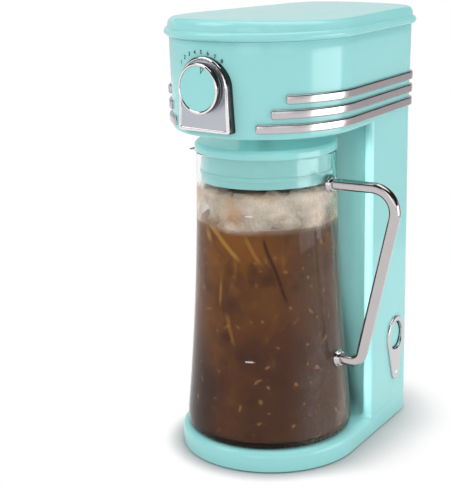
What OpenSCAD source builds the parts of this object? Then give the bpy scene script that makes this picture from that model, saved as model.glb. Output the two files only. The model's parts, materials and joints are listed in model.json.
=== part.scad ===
// Iced coffee maker with a removable pitcher.
// Millimetres, Z up, floor at z = 0, front towards -Y, pitcher axis on the Z axis.

/* [Body outline] */
// Radius of the round front
front_r = 76.6; // [60:0.2:100]
// Distance of the front arc's centre behind the pitcher axis
front_y = 2.8; // [0:0.1:10]
// Radius of the rear corners
rear_r = 18; // [8:0.5:40]
// Half distance between the rear corner centres
rear_cx = 43; // [30:0.5:60]
// Distance of the rear corner centres behind the pitcher axis
rear_cy = 115; // [95:0.5:140]
// Wall of the mouldings
wall = 2.6; // [1.6:0.1:4]

/* [Heights] */
// Lower edge of the base moulding above the floor
skirt_z = 1; // [0.5:0.1:3]
// Top of the deck the pitcher stands on
deck_z = 18; // [14:0.5:30]
// Gap between the pitcher's lid and the head
head_gap = 11.4; // [9:0.2:20]
// Room above the spray plate, up to the riser
riser_gap = 4.6; // [3:0.2:10]
// Room above the riser, up to the head's edge
rim_gap = 3.5; // [2.5:0.1:8]
// Height of the lid above the head's edge
lid_h = 13.5; // [11:0.5:24]
// Rounding of the deck's front edge
deck_round = 5.5; // [2:0.5:8]

/* [Column] */
// Radius of the hollow front of the column about the pitcher axis
bay_r = 80.5; // [78:0.5:95]
// Rounding of the column's front edges
edge_round = 4; // [2:0.5:6]
// Half width of the rear window
window_x = 32; // [20:0.5:36]
// Lower edge of the rear window
window_z0 = 36; // [30:1:60]
// Distance of the rear window's upper edge below the head
window_top = 17.8; // [14:0.2:60]
// Gap round the rear cover
cover_gap = 0.3; // [0.1:0.05:0.6]
// Width of the ledge behind the rear window
ledge = 8; // [6:0.5:10]

/* [Lid] */
// How far the lid's band stands out past the head
lid_out = 2.3; // [0:0.1:3]
// How far the finger bead stands out past the head
bead_out = 5.2; // [3:0.2:7]
// Height of the finger bead
bead_h = 7; // [4:0.5:10]
// Rounding of the lid's upper edge
lid_round = 5; // [2:0.5:8]
// Depth of the locating skirt below the head's edge
lid_skirt = 6; // [3:0.5:12]
// Gap between lid and head
lid_gap = 0.4; // [0.3:0.05:1]

/* [Trim] */
// Height of one bright trim strip
trim_h = 5.4; // [3:0.2:8]
// How far a trim strip stands out
trim_out = 2.5; // [1:0.1:4]
// Upper edge of the lowest strip above the head's underside
trim_up = 11.6; // [8:0.2:24]
// Distance from strip to strip
trim_pitch = 10.95; // [8:0.05:16]
// Where the lowest strip begins, degrees from the front
trim_start = 30.7; // [10:0.1:60]
// How much later each higher strip begins
trim_step = 8.55; // [0:0.05:15]

/* [Strength dial] */
// Distance from the plate's arch to the head's edge
dial_gap = 10.9; // [6:0.1:16]
// Radius of the knob
knob_r = 19.6; // [14:0.2:26]
// Radius of the coloured knob face
face_r = 17.2; // [10:0.1:24]
// Depth of the knob
knob_d = 5.6; // [3:0.1:12]
// Rest angle of the pointer, clockwise seen from the front
knob_rest = 18; // [-47:1:47]
// Radius of the plate's arch
plate_r = 23.8; // [20:0.2:30]
// Half width of the plate's lower edge
plate_x = 25.1; // [20:0.1:32]
// Distance of the plate's lower edge below the knob's axis
plate_h = 33.8; // [28:0.2:37]
// How far the plate stands ahead of the head
plate_out = 4.3; // [2:0.1:8]
// Radius of the knob's shaft
shaft_r = 4; // [2:0.1:6]
// Radial running gap of the shaft
shaft_gap = 0.05; // [0.01:0.01:0.1]
// Radius of the shaft's bush
bush_r = 6; // [5:0.1:9]
// Radius of the flow gate
gate_r = 14; // [8:0.5:18]

/* [Power switch] */
// Distance of the switch along the side, from the front arc's end
switch_s = 86; // [60:0.5:95]
// Height of the switch
switch_z = 78; // [50:0.5:120]
// Height of the indicator
lamp_z = 44; // [25:0.5:60]
// Outer radius of the bezel's ring
bezel_r = 17.4; // [12:0.1:22]
// Radius of the bezel's lower end
bezel_tip_r = 7; // [4:0.1:10]
// Thickness of the bezel
bezel_t = 2; // [1:0.1:4]
// Radius of the push button
button_r = 12; // [6:0.1:16]
// Gap round the push button
button_gap = 0.35; // [0.3:0.01:0.6]
// Stroke of the push button
button_stroke = 2.5; // [1:0.1:5]
// Radius of the indicator
lamp_r = 2.2; // [1:0.1:4]

/* [Pitcher] */
// Turn of the pitcher, handle from straight right towards the back
pitcher_turn = 9; // [-30:1:40]
// Largest radius, just above the foot
jar_foot_r = 69.6; // [55:0.1:80]
// Height of the largest radius above the deck
jar_foot_h = 12; // [6:0.5:25]
// Radius at the rim
jar_rim_r = 57; // [45:0.1:70]
// Height of the rim above the deck
jar_h = 236.4; // [180:0.2:260]
// How far the side is drawn in between foot and rim
jar_waist = 2.6; // [0:0.1:8]
// Wall of the jar
jar_wall = 2.8; // [2:0.1:5]
// Reach of the spout from the axis
spout_r = 75; // [62:0.5:85]
// How far the spout's tip droops below the rim
spout_drop = 7; // [0:0.5:12]
// Half width of the spout at the rim
spout_w = 15; // [8:0.5:24]

/* [Pitcher lid] */
// How far the cap stands out past the jar's rim
cap_lip = 1.2; // [0:0.1:6]
// Height of the cap
cap_h = 7; // [4:0.5:14]
// Play between the skirt and the narrowest part of the jar's neck
skirt_gap = 0.8; // [0.3:0.1:4]
// Depth of the skirt
cap_skirt_h = 24; // [10:0.5:40]
// Radius of the drip hole
drip_r = 12; // [6:0.5:20]

/* [Pitcher handle] */
// Height of the upper arm above the deck
arm_top = 208; // [160:0.5:230]
// Height of the lower arm above the deck
arm_low = 61.5; // [30:0.5:100]
// Reach of the corner between arm and grip
grip_reach = 120; // [95:0.5:140]
// Length of the lower arm up to its corner
low_arm = 10.3; // [8:0.1:24]
// Radius of the upper bend's centre line
bend_top = 16; // [8:0.5:30]
// Radius of the lower bend's centre line
bend_low = 8; // [5:0.5:20]
// Thickness of the bar
bar_t = 6; // [4:0.2:10]
// Width of the bar
bar_w = 10; // [6:0.2:16]
// Length of the bosses on the jar
boss_l = 3.2; // [2:0.1:6]
// Radius of the pins that hold the bar
pin_r = 2; // [1:0.1:3]

/* [Brewing] */
// Room between the basket's rim and the head's front
basket_room = 19.8; // [18.4:0.1:30]
// How much the basket narrows towards its floor
basket_taper = 10; // [4:0.5:20]
// Height of the basket's rim above the head's underside
basket_top = 51; // [30:0.5:60]
// Wall of basket and tank
tub_wall = 2; // [1.2:0.1:3]
// Floor of the tank
tank_z = 150; // [135:1:220]
// Distance of the tank's upper edge below the head's edge
tank_gap_top = 18.5; // [12:0.5:40]
// Right-hand limit of the tank in the column
tank_x = 30; // [10:1:34]
// Half distance between the heater's legs
heater_half = 28; // [18:0.5:34]
// Middle of the heater
heater_x = 12; // [0:0.5:16]
// Distance of heater and riser behind the pitcher axis
heater_y = 112; // [105:0.5:120]
// Lower end of the heater's legs
heater_z0 = 70; // [64:1:90]
// Upper end of the heater's legs
heater_z1 = 125; // [100:1:132]
// Radius of the heater's tube
heater_r = 6; // [4:0.1:8]
// Radius of the water way
water_r = 3.5; // [2:0.1:5]

/* [Fasteners] */
// Radius of a screw
screw_r = 1.5; // [1:0.1:2.5]
// Radius of a screw head
head_r = 3; // [2:0.1:5]
// Radius of a foot
foot_r = 7; // [4:0.5:12]

/* [Hidden] */
$fn = 96;
teal = "#8fd6d2";
bright = "#c9ccd0";
dark = "#2b2d30";
clear = "#dfe8ea";
steel = "#a9adb2";

// Outline: a round front, two tapered sides, two rear corners and a flat back
side_run = rear_cy - front_y;
tau = asin((front_r - rear_r) / norm([rear_cx, side_run])) - atan2(rear_cx, side_run);
side_n = [cos(tau), sin(tau)];
side_t = [-sin(tau), cos(tau)];
back_y = rear_cy + rear_r;
nose_y = front_y - front_r;
head_z = deck_z + jar_h + cap_h + head_gap;
window_z1 = head_z - window_top;
trim_z = head_z + trim_up;
function front_pt(d) = [0, front_y] + (front_r + d) * side_n;
function rear_pt(d) = [rear_cx, rear_cy] + (rear_r + d) * side_n;
function flip(p) = [-p[0], p[1]];
side_len = norm(rear_pt(0) - front_pt(0));
big = 400;
seam = 0.1;
lap = 1;
crease = 0.4;
rest_gap = 0.05;
eps = 0.01;

module outline(d = 0) {
    translate([0, front_y]) circle(r = front_r + d);
    for (s = [-1, 1]) translate([s * rear_cx, rear_cy]) circle(r = rear_r + d);
    polygon([front_pt(d), rear_pt(d), [rear_cx, back_y + d], [-rear_cx, back_y + d],
        flip(rear_pt(d)), flip(front_pt(d))]);
}

module wall_ring(t = wall) {
    difference() {
        outline(0);
        outline(-t);
    }
}

module bay(r) {
    difference() {
        outline(-wall);
        circle(r = r);
    }
}

module behind(y) {
    intersection() {
        children();
        translate([-big / 2, y]) square(big);
    }
}

// A profile drawn with x outwards from the outline and y up is carried along the outline
module along_front(a0, a1) {
    translate([0, front_y, 0]) rotate([0, 0, a0 - 90]) rotate_extrude(angle = a1 - a0)
        translate([front_r, 0]) children();
}

module along_side(s0, s1) {
    translate(concat(front_pt(seam) + s1 * side_t, 0)) rotate([90, 0, tau]) linear_extrude(s1 - s0) children();
}

module along_corner(a0, a1) {
    translate([rear_cx, rear_cy, 0]) rotate([0, 0, a0]) rotate_extrude(angle = a1 - a0)
        translate([rear_r, 0]) children();
}

module along_back() {
    translate([-rear_cx - lap, back_y + seam, 0]) rotate([90, 0, 90]) linear_extrude(2 * rear_cx + 2 * lap)
        children();
}

module both() {
    children();
    mirror([1, 0, 0]) children();
}

module all_round() {
    along_front(-90 - tau, 90 + tau) children();
    both() along_side(-lap, side_len + lap) children();
    both() along_corner(tau, 90) children();
    along_back() children();
}

// Frames on the side (x back, y up, z out) and on the front (x right, y up, z out)
module on_side(s) {
    translate(concat(front_pt(0) + s * side_t, 0)) rotate([90, 0, 90 + tau]) children();
}

module on_front(y) {
    translate([0, y, 0]) rotate([90, 0, 0]) children();
}

module rounded_corner(x, y, r) {
    difference() {
        translate([x - r, y - r]) square(r + 1);
        translate([x - r, y - r]) circle(r = r);
    }
}

module hole_y(x, z, r, y0, y1) {
    translate([x, y0, z]) rotate([-90, 0, 0]) cylinder(r = r, h = y1 - y0);
}

// Base
edge_b = front_y * cos(tau);
edge_c = front_pt(-edge_round) * front_pt(-edge_round) - pow(bay_r + edge_round, 2);
edge_s = sqrt(edge_b * edge_b - edge_c) - edge_b;
edge_at = front_pt(-edge_round) + edge_s * side_t;
edge_in = edge_at / norm(edge_at);
edge_pt = front_pt(0) + edge_s * side_t;
edge_y = edge_pt[1];
rim_band = 12;
deck_core = 8;
deck_t = 3;
cover_z = 1.6;
cover_t = 1.8;
post_z = cover_z + cover_t;
post_r = 4.5;
post_at = [[52, -20], [-52, -20], [44, 105], [-44, 105]];
foot_at = [[0, 0], [50, -34], [-50, -34], [44, 118], [-44, 118]];
stub_r = 2.4;
slip = 0.2;
head_t = 1.1;
screw_l = 9;
duct = [40, 16];
vent = [3, 34];
vent_n = 5;
vent_pitch = 9;

module deck_rim() {
    difference() {
        translate([-rim_band, skirt_z]) square([rim_band, deck_z - skirt_z]);
        translate([-rim_band - 1, skirt_z - 1]) square([rim_band + 1 - wall, deck_z - wall - skirt_z + 1]);
        rounded_corner(0, deck_z + crease, deck_round);
    }
}

module base_housing() {
    color(teal) difference() {
        union() {
            along_front(-90 - tau, 90 + tau) deck_rim();
            both() along_side(-lap, edge_s + 2) deck_rim();
            translate([0, 0, skirt_z]) linear_extrude(deck_z - skirt_z) behind(edge_y) wall_ring();
            translate([0, 0, deck_z - deck_t]) linear_extrude(deck_t) {
                outline(-deck_core);
                behind(edge_y) outline(-eps);
            }
            for (p = post_at) translate(concat(p, post_z)) cylinder(r = post_r, h = deck_z - post_z - 1);
            translate([0, 0, post_z + 1]) cylinder(r = post_r, h = deck_z - post_z - 2);
        }
        translate([-duct[0] / 2, heater_y - duct[1] / 2, deck_z - wall - 1]) cube([duct[0], duct[1], wall + 2]);
        for (p = post_at) translate(concat(p, post_z - 1)) cylinder(r = screw_r, h = screw_l + 1);
    }
}

module bottom_cover() {
    color(dark) difference() {
        translate([0, 0, cover_z]) linear_extrude(cover_t) outline(-wall - slip);
        for (p = post_at) translate(concat(p, 0)) cylinder(r = screw_r + slip, h = deck_z);
        for (p = foot_at) translate(concat(p, 0)) cylinder(r = stub_r, h = deck_z);
        for (i = [0 : vent_n - 1])
            translate([(i - (vent_n - 1) / 2) * vent_pitch - vent[0] / 2, 50, 0])
                cube([vent[0], vent[1], deck_z]);
    }
}

module rubber_feet() {
    color(dark) for (p = foot_at) translate(concat(p, 0)) {
        cylinder(r = foot_r, h = cover_z);
        cylinder(r = stub_r, h = post_z + 1);
    }
}

module base_screws() {
    color(steel) for (p = post_at) translate(concat(p, cover_z - head_t)) {
        cylinder(r = head_r, h = head_t);
        cylinder(r = screw_r, h = screw_l);
    }
}

// Column
frame_t = 2.4;
frame_out = 3;
cover_screw_x = window_x - ledge / 2;
cover_screw_z = [window_z0 + 8, window_z1 - 8];
bracket_z = 90;
bracket_h = 10;
bracket_t = 4;
post_end = heater_y - bracket_t / 2;
sleeve_r = button_r + button_gap + 1.2;
gland_z = 56;
gland_r = 6;
cord_r = 3.4;

module column_plan() {
    difference() {
        outline(0);
        circle(r = bay_r);
        bay(bay_r + wall);
        for (s = [-1, 1]) scale([s, 1]) polygon([edge_at, edge_at + (edge_round + 1) * side_n,
            edge_pt + side_n / 2 - 30 * side_t, edge_at - (edge_round + 1) * edge_in]);
    }
}

module column_housing() {
    color(teal) difference() {
        union() {
            translate([0, 0, deck_z]) linear_extrude(head_z - deck_z) column_plan();
            both() translate(concat(edge_at, deck_z)) cylinder(r = edge_round + seam / 2, h = head_z - deck_z);
            translate([-window_x - frame_out, back_y - wall - frame_t, window_z0 - frame_out])
                cube([2 * (window_x + frame_out), frame_t + eps, window_z1 - window_z0 + 2 * frame_out]);
            hole_y(heater_x, bracket_z + bracket_h / 2, post_r, bay_r + 0.5, post_end);
        }
        translate([-window_x, back_y - wall, window_z0]) cube([2 * window_x, wall + 1, window_z1 - window_z0]);
        translate([-window_x + ledge, back_y - wall - frame_t - 1, window_z0 + ledge])
            cube([2 * (window_x - ledge), frame_t + 2, window_z1 - window_z0 - 2 * ledge]);
        for (s = [-1, 1], z = cover_screw_z) hole_y(s * cover_screw_x, z, screw_r, back_y - wall - 5, back_y);
        hole_y(heater_x, bracket_z + bracket_h / 2, screw_r, post_end - screw_l, post_end + 1);
        on_side(switch_s) translate([0, switch_z, -10]) cylinder(r = sleeve_r, h = 20);
        on_side(switch_s) translate([0, lamp_z, -10]) cylinder(r = lamp_r, h = 20);
    }
}

module rear_cover() {
    color(teal) difference() {
        translate([-window_x + cover_gap, back_y - wall, window_z0 + cover_gap])
            cube([2 * (window_x - cover_gap), wall, window_z1 - window_z0 - 2 * cover_gap]);
        for (s = [-1, 1], z = cover_screw_z) {
            hole_y(s * cover_screw_x, z, screw_r + slip, back_y - wall - 1, back_y + 1);
            hole_y(s * cover_screw_x, z, head_r + slip, back_y - head_t - slip, back_y + 1);
        }
        hole_y(0, gland_z, gland_r, back_y - wall - 1, back_y + 1);
        for (i = [0 : vent_n - 1])
            translate([-vent[1] / 2, back_y - wall - 1, 200 + i * vent_pitch])
                cube([vent[1], wall + 2, vent[0]]);
    }
}

module cover_screws() {
    color(steel) for (s = [-1, 1], z = cover_screw_z) {
        hole_y(s * cover_screw_x, z, head_r, back_y - head_t - slip, back_y - slip);
        hole_y(s * cover_screw_x, z, screw_r, back_y - head_t - slip - 4, back_y - head_t - slip);
    }
}

module cord_gland() {
    color(dark) difference() {
        union() {
            hole_y(0, gland_z, gland_r, back_y - wall - 3, back_y + 2);
            hole_y(0, gland_z, gland_r + 2, back_y, back_y + 2);
        }
        hole_y(0, gland_z, cord_r, back_y - wall - 4, back_y + 3);
    }
}

// Head
basket_r = -nose_y - basket_room;
basket_floor_r = basket_r - basket_taper;
seat_r = basket_r + 3;
seat_t = 2.6;
nozzle_r = 7;
drip_gap = 2;
seat_z = head_z + basket_top;
flange_t = 2.2;
mesh_t = 0.8;
spray_t = 1.6;
riser_r = 5;
riser_z = seat_z + flange_t + mesh_t + spray_t + riser_gap + riser_r;
rim_z = riser_z + riser_r + rim_gap;
lid_z = rim_z + lid_h;
knob_z = rim_z - dial_gap - plate_r;
plate_z = knob_z - plate_h;
plate_y = nose_y - plate_out;

module head_housing() {
    color(teal) difference() {
        union() {
            translate([0, 0, head_z]) linear_extrude(rim_z - head_z) wall_ring();
            translate([0, 0, head_z]) linear_extrude(wall) difference() {
                outline(-1);
                circle(r = nozzle_r + drip_gap);
                bay(bay_r + wall);
            }
            translate([0, 0, head_z]) linear_extrude(seat_z - head_z) difference() {
                circle(r = seat_r + seat_t);
                circle(r = seat_r);
            }
        }
        on_front(nose_y + 8) translate([0, knob_z, 0]) cylinder(r = bush_r, h = 16);
    }
}

// Water way
tank_gap = 0.6;
tank_top = rim_z - tank_gap_top;
tank_front = 30;
tank_edge = edge_at[1] + edge_round + tank_gap;
tank_back = back_y - wall - frame_t - 1.4;
tunnel_r = 8;
in_x = heater_x - heater_half;
out_x = heater_x + heater_half;
step_z = head_z + wall + 0.3;
hose_t = 2.5;
hose_in = 8;
elbow_r = 12;
drop_r = 7;
pour_r = basket_floor_r;

module tank_low(d) {
    intersection() {
        difference() {
            outline(-wall - tank_gap - d);
            circle(r = bay_r + wall + tank_gap + d);
        }
        translate([tank_x - d - big, tank_edge + d]) square([big, tank_back - tank_edge - 2 * d]);
    }
}

module tank_high(d) {
    difference() {
        behind(tank_front + d) outline(-wall - tank_gap - d);
        circle(r = seat_r + seat_t + drip_gap + d);
        translate([out_x, heater_y]) circle(r = tunnel_r + d);
    }
}

module water_tank() {
    color(clear, 0.6) difference() {
        union() {
            translate([0, 0, tank_z]) linear_extrude(step_z + tub_wall - tank_z) tank_low(0);
            translate([0, 0, step_z]) linear_extrude(tank_top - step_z) tank_high(0);
            translate([in_x, heater_y, tank_z - 11]) cylinder(r = heater_r, h = 11 + 1);
        }
        translate([0, 0, tank_z + tub_wall]) linear_extrude(step_z - tank_z) tank_low(tub_wall);
        translate([0, 0, step_z + tub_wall]) linear_extrude(tank_top - step_z) tank_high(tub_wall);
        translate([in_x, heater_y, tank_z - 12]) cylinder(r = water_r, h = 20);
    }
}

module cold_hose() {
    color(clear) translate([in_x, heater_y, heater_z1 - hose_in]) difference() {
        cylinder(r = heater_r + hose_t, h = tank_z - 2 - heater_z1 + hose_in);
        translate([0, 0, -1]) cylinder(r = heater_r, h = tank_z);
    }
}

module check_valve() {
    color(dark) translate([in_x, heater_y, heater_z1 + 4]) difference() {
        cylinder(r = heater_r, h = 6);
        translate([0, 0, -1]) cylinder(r = 2, h = 8);
    }
}

module heater_path(r) {
    for (x = [in_x, out_x]) translate([x, heater_y, heater_z0]) cylinder(r = r, h = heater_z1 - heater_z0);
    translate([heater_x, heater_y, heater_z0]) rotate([90, 0, 0]) rotate([0, 0, 180]) rotate_extrude(angle = 180)
        translate([heater_half, 0]) circle(r = r);
}

module heater_tube() {
    color(steel) difference() {
        heater_path(heater_r);
        heater_path(water_r);
    }
}

module heater_bracket() {
    color(steel) difference() {
        union() {
            translate([in_x, post_end, bracket_z]) cube([2 * heater_half, bracket_t, bracket_h]);
            for (x = [in_x, out_x])
                translate([x, heater_y, bracket_z]) cylinder(r = heater_r + 2, h = bracket_h);
        }
        for (x = [in_x, out_x])
            translate([x, heater_y, bracket_z - 1]) cylinder(r = heater_r, h = bracket_h + 2);
        hole_y(heater_x, bracket_z + bracket_h / 2, screw_r + slip, post_end - 1, post_end + bracket_t + 1);
    }
}

module heater_screw() {
    at_z = bracket_z + bracket_h / 2;
    color(steel) {
        hole_y(heater_x, at_z, head_r, post_end + bracket_t, post_end + bracket_t + head_t);
        hole_y(heater_x, at_z, screw_r, post_end - screw_l + 1, post_end + bracket_t + eps);
    }
}

module thermostat() {
    color(dark) hole_y(out_x, heater_z0 + 8, heater_r + 1, heater_y + heater_r, heater_y + heater_r + 6);
}

arm_dir = atan2(-heater_y, -out_x);
arm_l = norm([out_x, heater_y]) - pour_r - drop_r;

module riser_path(r) {
    translate([out_x, heater_y, 0]) rotate([0, 0, arm_dir]) {
        translate([0, 0, heater_z1 + 2]) cylinder(r = r, h = riser_z - elbow_r - heater_z1 - 2);
        translate([elbow_r, 0, riser_z - elbow_r]) rotate([90, 0, 0]) rotate([0, 0, 90]) rotate_extrude(angle = 90)
            translate([elbow_r, 0]) circle(r = r);
        translate([elbow_r, 0, riser_z]) rotate([0, 90, 0]) cylinder(r = r, h = arm_l - elbow_r);
        translate([arm_l, 0, riser_z - drop_r]) rotate([90, 0, 0]) rotate_extrude(angle = 90)
            translate([drop_r, 0]) circle(r = r);
    }
}

module riser_tube() {
    color(clear) difference() {
        union() {
            riser_path(riser_r);
            translate([out_x, heater_y, heater_z1 - hose_in]) cylinder(r = heater_r + hose_t, h = hose_in + 4);
        }
        riser_path(water_r);
        translate([out_x, heater_y, heater_z1 - hose_in - 1]) cylinder(r = heater_r, h = hose_in + 1);
        translate([out_x, heater_y, heater_z1 - 1]) cylinder(r = water_r, h = 6);
    }
}

// Basket
floor_z = head_z + 6.4;
flange_r = seat_r + 2;
mesh_gap = 0.6;
nozzle_z = head_z - 6.4;

module brew_basket() {
    color(dark) difference() {
        union() {
            rotate_extrude() polygon([[0, floor_z], [basket_floor_r, floor_z], [basket_r, seat_z], [flange_r, seat_z],
                [flange_r, seat_z + flange_t], [basket_r - tub_wall, seat_z + flange_t],
                [basket_floor_r - tub_wall, floor_z + tub_wall], [0, floor_z + tub_wall]]);
            translate([0, 0, nozzle_z]) cylinder(r = nozzle_r, h = floor_z - nozzle_z + 1);
        }
        translate([0, 0, nozzle_z - 1]) cylinder(r = water_r, h = 30);
    }
}

mesh_r = basket_r - tub_wall - mesh_gap;
mesh_floor_r = basket_floor_r - tub_wall - mesh_gap;
mesh_z = floor_z + tub_wall + 2;
mesh_top = seat_z + flange_t;

module mesh_filter() {
    color(steel) rotate_extrude() polygon([[0, mesh_z], [mesh_floor_r, mesh_z], [mesh_r, mesh_top],
        [basket_r + 2, mesh_top], [basket_r + 2, mesh_top + mesh_t], [mesh_r - mesh_t, mesh_top + mesh_t],
        [mesh_floor_r - mesh_t, mesh_z + mesh_t], [0, mesh_z + mesh_t]]);
}

spray_r = basket_r - 1;
spray_z = mesh_top + mesh_t;

module spray_plate() {
    color(dark) difference() {
        translate([0, 0, spray_z]) cylinder(r = spray_r, h = spray_t);
        for (r = [0, 15, 30], a = [0 : 60 : 300])
            rotate([0, 0, a]) translate([r, 0, spray_z - 1]) cylinder(r = 1.6, h = 4);
    }
}

// Bright trim
trim_round = (trim_h * trim_h / 4 + trim_out * trim_out) / (2 * trim_out);
trim_end = 80;

module trim_profile(z) {
    intersection() {
        translate([trim_out - trim_round, z - trim_h / 2]) circle(r = trim_round);
        translate([0, z - trim_h]) square(2 * trim_h);
    }
}

module trim_strip(k) {
    along_front(trim_start + k * trim_step, 90 + tau) trim_profile(trim_z + k * trim_pitch);
    along_side(-lap, side_len + lap) trim_profile(trim_z + k * trim_pitch);
    along_corner(tau, trim_end) trim_profile(trim_z + k * trim_pitch);
}

module trim_right_lower() { color(bright) trim_strip(0); }
module trim_right_middle() { color(bright) trim_strip(1); }
module trim_right_upper() { color(bright) trim_strip(2); }
module trim_left_lower() { color(bright) mirror([1, 0, 0]) trim_strip(0); }
module trim_left_middle() { color(bright) mirror([1, 0, 0]) trim_strip(1); }
module trim_left_upper() { color(bright) mirror([1, 0, 0]) trim_strip(2); }

// Strength dial
knob_gap = 0.4;
knob_y = plate_y - knob_gap;
web_t = 2;
face_t = 3;
bush_in = 5.4;
collar_r = 9;
collar_t = 2;
gate_gap = 1.4;
gate_t = 2.5;
gate_y = -seat_r - seat_t - gate_gap - gate_t;

module dial_plate() {
    color(bright) difference() {
        on_front(nose_y + 10) {
            translate([0, knob_z, 0]) cylinder(r = plate_r, h = plate_out + 10);
            linear_extrude(plate_out + 10)
                polygon([[seam - plate_r, knob_z], [plate_r - seam, knob_z], [plate_x, plate_z], [-plate_x, plate_z]]);
        }
        on_front(nose_y + 11) translate([0, knob_z, 0]) cylinder(r = bush_r, h = plate_out + 12);
        translate([0, front_y, 0]) cylinder(r = front_r, h = big);
    }
}

module dial_bush() {
    color(dark) difference() {
        union() {
            on_front(nose_y + bush_in) translate([0, knob_z, 0]) cylinder(r = bush_r, h = bush_in + plate_out);
            on_front(nose_y + bush_in) translate([0, knob_z, 0]) cylinder(r = collar_r, h = collar_t);
        }
        on_front(nose_y + 20) translate([0, knob_z, 0]) cylinder(r = shaft_r + shaft_gap, h = 40);
    }
}

module knob_ring() {
    color(bright) difference() {
        on_front(knob_y) translate([0, knob_z, 0]) cylinder(r = knob_r, h = knob_d);
        on_front(knob_y - web_t) translate([0, knob_z, 0]) cylinder(r = face_r, h = knob_d);
        on_front(knob_y + 1) translate([0, knob_z, 0]) cylinder(r = shaft_r, h = knob_d);
    }
}

module knob_face() {
    color(teal) on_front(knob_y - web_t) translate([0, knob_z, 0]) cylinder(r = face_r, h = face_t);
}

mark_r = 14.2;
mark_h = 5;
mark_w = 4.4;
mark_line = 0.8;

module knob_pointer() {
    color(dark) on_front(knob_y - web_t - face_t) translate([0, knob_z, 0]) rotate([0, 0, -knob_rest])
        translate([0, mark_r, 0]) linear_extrude(0.3) difference() {
            polygon([[-mark_w / 2, mark_h / 2], [mark_w / 2, mark_h / 2], [0, -mark_h / 2]]);
            polygon([[-mark_w / 2 + 1.6 * mark_line, mark_h / 2 - mark_line],
                [mark_w / 2 - 1.6 * mark_line, mark_h / 2 - mark_line], [0, -mark_h / 2 + 2.4 * mark_line]]);
        }
}

module knob_shaft() {
    color(steel) on_front(gate_y + gate_t)
        translate([0, knob_z, 0]) cylinder(r = shaft_r, h = gate_y + gate_t - knob_y + web_t);
}

module flow_gate() {
    color(dark) on_front(gate_y + gate_t) translate([0, knob_z, 0]) difference() {
        cylinder(r = gate_r, h = gate_t);
        translate([0, 0, -1]) cylinder(r = shaft_r, h = gate_t + 2);
        rotate([0, 0, -knob_rest]) translate([0, -gate_r + 3, -1]) cylinder(r = 2, h = gate_t + 2);
    }
}

// Power switch
bezel_a = asin((bezel_r - bezel_tip_r) / (switch_z - lamp_z));
bezel_n = [cos(bezel_a), -sin(bezel_a)];
bezel_big = [0, switch_z] + (bezel_r - seam) * bezel_n;
bezel_small = [0, lamp_z] + (bezel_tip_r - seam) * bezel_n;
sleeve_d = 14;
sleeve_t = 1.6;
button_in = 0.6;
button_t = 6.4;
stem_r = 5;

module switch_bezel() {
    color(bright) on_side(switch_s) difference() {
        union() {
            translate([0, switch_z, 0]) cylinder(r = bezel_r, h = bezel_t);
            translate([0, lamp_z, 0]) cylinder(r = bezel_tip_r, h = bezel_t);
            linear_extrude(bezel_t) polygon([bezel_big, bezel_small, flip(bezel_small), flip(bezel_big)]);
        }
        translate([0, switch_z, -1]) cylinder(r = button_r + button_gap, h = bezel_t + 2);
        translate([0, lamp_z, -1]) cylinder(r = lamp_r, h = bezel_t + 2);
    }
}

module switch_housing() {
    color(dark) on_side(switch_s) translate([0, switch_z, 0]) difference() {
        union() {
            translate([0, 0, -sleeve_d]) cylinder(r = sleeve_r, h = sleeve_d);
            translate([0, 0, -wall - 2]) cylinder(r = sleeve_r + 2, h = 2);
        }
        translate([0, 0, -sleeve_d + sleeve_t]) cylinder(r = button_r + button_gap, h = sleeve_d);
    }
}

module power_button() {
    color(teal) on_side(switch_s) translate([0, switch_z, 0]) {
        translate([0, 0, -button_in - button_t]) cylinder(r = button_r, h = button_t);
        translate([0, 0, -sleeve_d + sleeve_t + button_stroke + 0.1])
            cylinder(r = stem_r, h = sleeve_d - sleeve_t - button_stroke - button_in - 0.2);
    }
}

module indicator_lens() {
    color("white") on_side(switch_s)
        translate([0, lamp_z, -wall - 1]) cylinder(r = lamp_r, h = wall + 1 + bezel_t + 0.4);
}

// Lid
lid_band = 9;
lid_lip = 2;
lid_in = wall + lid_gap;
lid_seat = rim_z + rest_gap;

module lid_rim() {
    difference() {
        union() {
            translate([-lid_band, lid_seat]) square([lid_band + bead_out - bead_h / 2, bead_h]);
            translate([bead_out - bead_h / 2, lid_seat + bead_h / 2]) circle(r = bead_h / 2);
            translate([-lid_band, lid_seat + bead_h / 2]) square([lid_band + lid_out, lid_z - lid_seat - bead_h / 2]);
            translate([-lid_in - lid_lip, rim_z - lid_skirt]) square([lid_lip, lid_skirt + 1]);
        }
        rounded_corner(lid_out, lid_z + crease, lid_round);
        translate([-lid_band - 1, rim_z - 1])
            square([lid_band + 1 - lid_in - lid_lip, lid_z - wall - rim_z + 1]);
    }
}

module lid_cap() {
    color(teal) {
        all_round() lid_rim();
        translate([0, 0, lid_z - wall + 0.3]) linear_extrude(wall - 0.3) outline(-lid_band + 2);
    }
}

// Pitcher
stand_z = deck_z + rest_gap;
jar_top = stand_z + jar_h;
foot_round = 4;
jar_floor = 4.5;
jar_n = 20;
function jar_t(h) = (h - jar_foot_h) / (jar_h - jar_foot_h);
function jar_r(h) = let (t = jar_t(h)) jar_foot_r + (jar_rim_r - jar_foot_r) * t - 4 * jar_waist * t * (1 - t);
function jar_at(h) = [jar_r(h), stand_z + h];
jar_side = [for (i = [0 : jar_n]) jar_at(jar_foot_h + (jar_h - jar_foot_h) * i / jar_n)];
jar_void = [for (p = jar_side) [p[0] - jar_wall, p[1] == jar_top ? p[1] + 1 : p[1]]];
boss_r = 6;
lip_t = 2.6;
lip_root = 16;
lip_tip = 4;
notch = [14, 5.5];

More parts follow.
